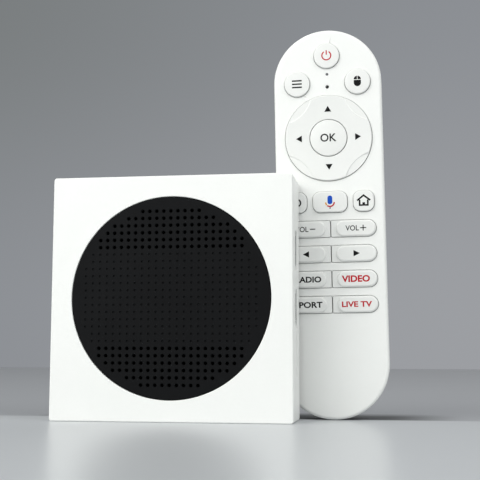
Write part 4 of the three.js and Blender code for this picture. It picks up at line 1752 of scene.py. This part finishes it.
    def direction_marks(self) -> None:
        """Prints the four arrowheads of the direction ring, whose face lies deeper than a key's."""
        reach = 12.8
        deeper = 0.51
        heads = [
            self.arrowhead(2.9, 2.4, turn, (reach * across, self.pad_height + reach * up))
            for turn, across, up in ((0, 0, 1), (90, 1, 0), (180, 0, -1), (270, -1, 0))
        ]
        printed = heads[0].add(*heads[1:]).shift((0, deeper, 0))
        self.mark(printed, "direction_ring", "black_ink")

    def house(self) -> Piece:
        """The outline of a house: a pitched roof over two walls with a door between.

        Returns:
            The outline, about the origin.
        """
        roof = [self.stroke((3.9, 0.72), (side * 1.28, 1.3), 0.1, side * 38) for side in (-1, 1)]
        walls = [self.stroke((0.72, 2.6), (side * 1.75, -0.9), 0.1) for side in (-1, 1)]
        sill = [self.stroke((1.5, 0.7), (side * 1.3, -1.95), 0.1) for side in (-1, 1)]
        door = self.stroke((1.1, 1.5), (0, -1.5), 0.1)
        return door.add(*roof, *walls, *sill)


# ---------------------------------------------------------------- the studio
@dataclass
class Studio:
    """The floor, backdrop, lights and camera."""

    camera_place: tuple[float, float, float] = (0.09255, -0.41545, 0.02767)
    camera_forward: tuple[float, float, float] = (-0.15427, 0.98146, 0.11371)
    camera_up: tuple[float, float, float] = (0.01528, -0.1127, 0.99351)
    focal_length: float = 75.0
    floor_edge: float = 0.02
    backdrop_depth: float = 1.6

    def build(self) -> None:
        """Sets up the whole studio."""
        self.camera()
        self.floor()
        self.backdrop()
        self.lights()
        bpy.context.scene.view_settings.view_transform = "Standard"

    def camera(self) -> None:
        """Places the camera."""
        data = bpy.data.cameras.new("camera")
        data.lens = self.focal_length
        data.sensor_width = 36.0
        data.clip_start = 0.01
        data.clip_end = 50.0
        camera = bpy.data.objects.new("camera", data)
        bpy.context.scene.collection.objects.link(camera)
        forward = Vector(self.camera_forward).normalized()
        right = forward.cross(Vector(self.camera_up)).normalized()
        up = right.cross(forward)
        turn = Matrix((right, up, -forward)).transposed()
        camera.matrix_world = Matrix.Translation(self.camera_place) @ turn.to_4x4()
        bpy.context.scene.camera = camera

    def floor(self) -> None:
        """A pale satin floor that turns darker behind a line at the object, with a painted soft shadow there."""
        clear_selection()
        bpy.ops.mesh.primitive_plane_add(size=8, location=(0, 0, 0))
        floor = bpy.context.object
        floor.name = "floor"
        recipe = Recipe("floor_board")
        depth = recipe.axis("Y")
        behind = depth.between(self.floor_edge - 0.002, self.floor_edge + 0.004)
        past = 1.0 - depth.between(self.floor_edge + 0.02, self.floor_edge + 0.05)
        across = recipe.axis("X")
        beside = across.between(-0.075, -0.035) - across.between(0.085, 0.125)
        clouds = recipe.noise(120.0, 3.0)
        board = recipe.tint(behind, (0.53, 0.55, 0.57), (0.36, 0.37, 0.39))
        # painted shadow: a dark strip painted into the floor colour just behind the line, behind the box and the
        # remote, standing in for their contact shadow; the same mask also roughens the floor there
        shadow = behind * past * beside
        colour = recipe.tint(shadow * 0.85, board, (0.04, 0.043, 0.045))
        roughness = 0.27 + clouds * 0.04 + shadow * 0.6
        floor.data.materials.append(recipe.surface({"Base Color": colour, "Roughness": roughness}))

    def backdrop(self) -> None:
        """A plain wall far behind that glows with painted light, a little lighter towards the lower right."""
        clear_selection()
        bpy.ops.mesh.primitive_plane_add(size=8, location=(0, self.backdrop_depth, 0),
                                         rotation=(math.pi / 2, 0, 0))
        wall = bpy.context.object
        wall.name = "backdrop"
        bpy.ops.object.transform_apply(location=True, rotation=True, scale=True)
        recipe = Recipe("backdrop_painted_light")
        # painted light: the wall glows instead of being lit, with its glow brighter towards the lower right and
        # dimmer towards the top
        across = recipe.axis("X").between(-1.0, 0.35)
        up = recipe.axis("Z").between(0.1, 0.8)
        low = recipe.tint(across, (0.262, 0.275, 0.296), (0.335, 0.345, 0.365))
        high = recipe.tint(across, (0.192, 0.205, 0.209), (0.262, 0.275, 0.296))
        colour = recipe.tint(up, low, high)
        glow = recipe.node("ShaderNodeEmission", {}, {"Color": colour, "Strength": 1.0})
        recipe.node("ShaderNodeOutputMaterial", {}, {"Surface": glow})
        wall.data.materials.append(recipe.material)
        wall.visible_diffuse = False
        wall.visible_shadow = False

    def lights(self) -> None:
        """A large soft key light from the upper left, a fill and an even sky."""
        world = bpy.data.worlds.new("sky")
        bpy.context.scene.world = world
        world.use_nodes = True
        sky = world.node_tree.nodes["Background"]
        sky.inputs["Color"].default_value = (0.98, 1.0, 0.985, 1.0)
        sky.inputs["Strength"].default_value = 0.6
        lamps = (
            ("key_light", (-0.8, -0.95, 0.8), 1.5, 15.0, (1.0, 1.0, 0.98)),
            ("fill_light", (0.8, -0.6, 0.9), 0.9, 4.8, (1.0, 1.0, 1.0)),
        )
        target = Vector((0.02, 0.0, 0.07))
        for name, place, size, power, colour in lamps:
            data = bpy.data.lights.new(name, "AREA")
            data.shape = "DISK"
            data.size = size
            data.energy = power
            data.color = colour
            lamp = bpy.data.objects.new(name, data)
            bpy.context.scene.collection.objects.link(lamp)
            lamp.location = place
            lamp.rotation_euler = (target - Vector(place)).to_track_quat("-Z", "Y").to_euler()


def remote_frame() -> Matrix:
    """Works out where the remote stands from the joints of its direction ring and a key.

    Returns:
        The matrix that takes the remote's own millimetres to its place.
    """
    joints = {joint["name"]: joint for joint in frame["joints"]}
    across = Vector(joints["direction_up_down"]["axis"]).normalized()
    inwards = Vector(joints["key_power_press"]["axis"]).normalized()
    upwards = across.cross(inwards).normalized()
    inwards = upwards.cross(across)
    pivot = Vector(joints["direction_up_down"]["pos_m"])
    origin = pivot - (Remote.pivot_depth * inwards + Remote.pad_height * upwards) * MILLIMETRE
    turn = Matrix((across, inwards, upwards)).transposed().to_4x4()
    return Matrix.Translation(origin) @ turn @ Matrix.Scale(MILLIMETRE, 4)


def main() -> None:
    """Builds the studio, the player and the remote, in that order."""
    logging.basicConfig(level=logging.INFO, format="%(message)s")
    Studio().build()
    finishes = Finishes()
    finishes.prepare()
    Player(finishes, Matrix.Scale(MILLIMETRE, 4)).build()
    Remote(finishes, remote_frame()).build()


if __name__ == "__main__":
    main()
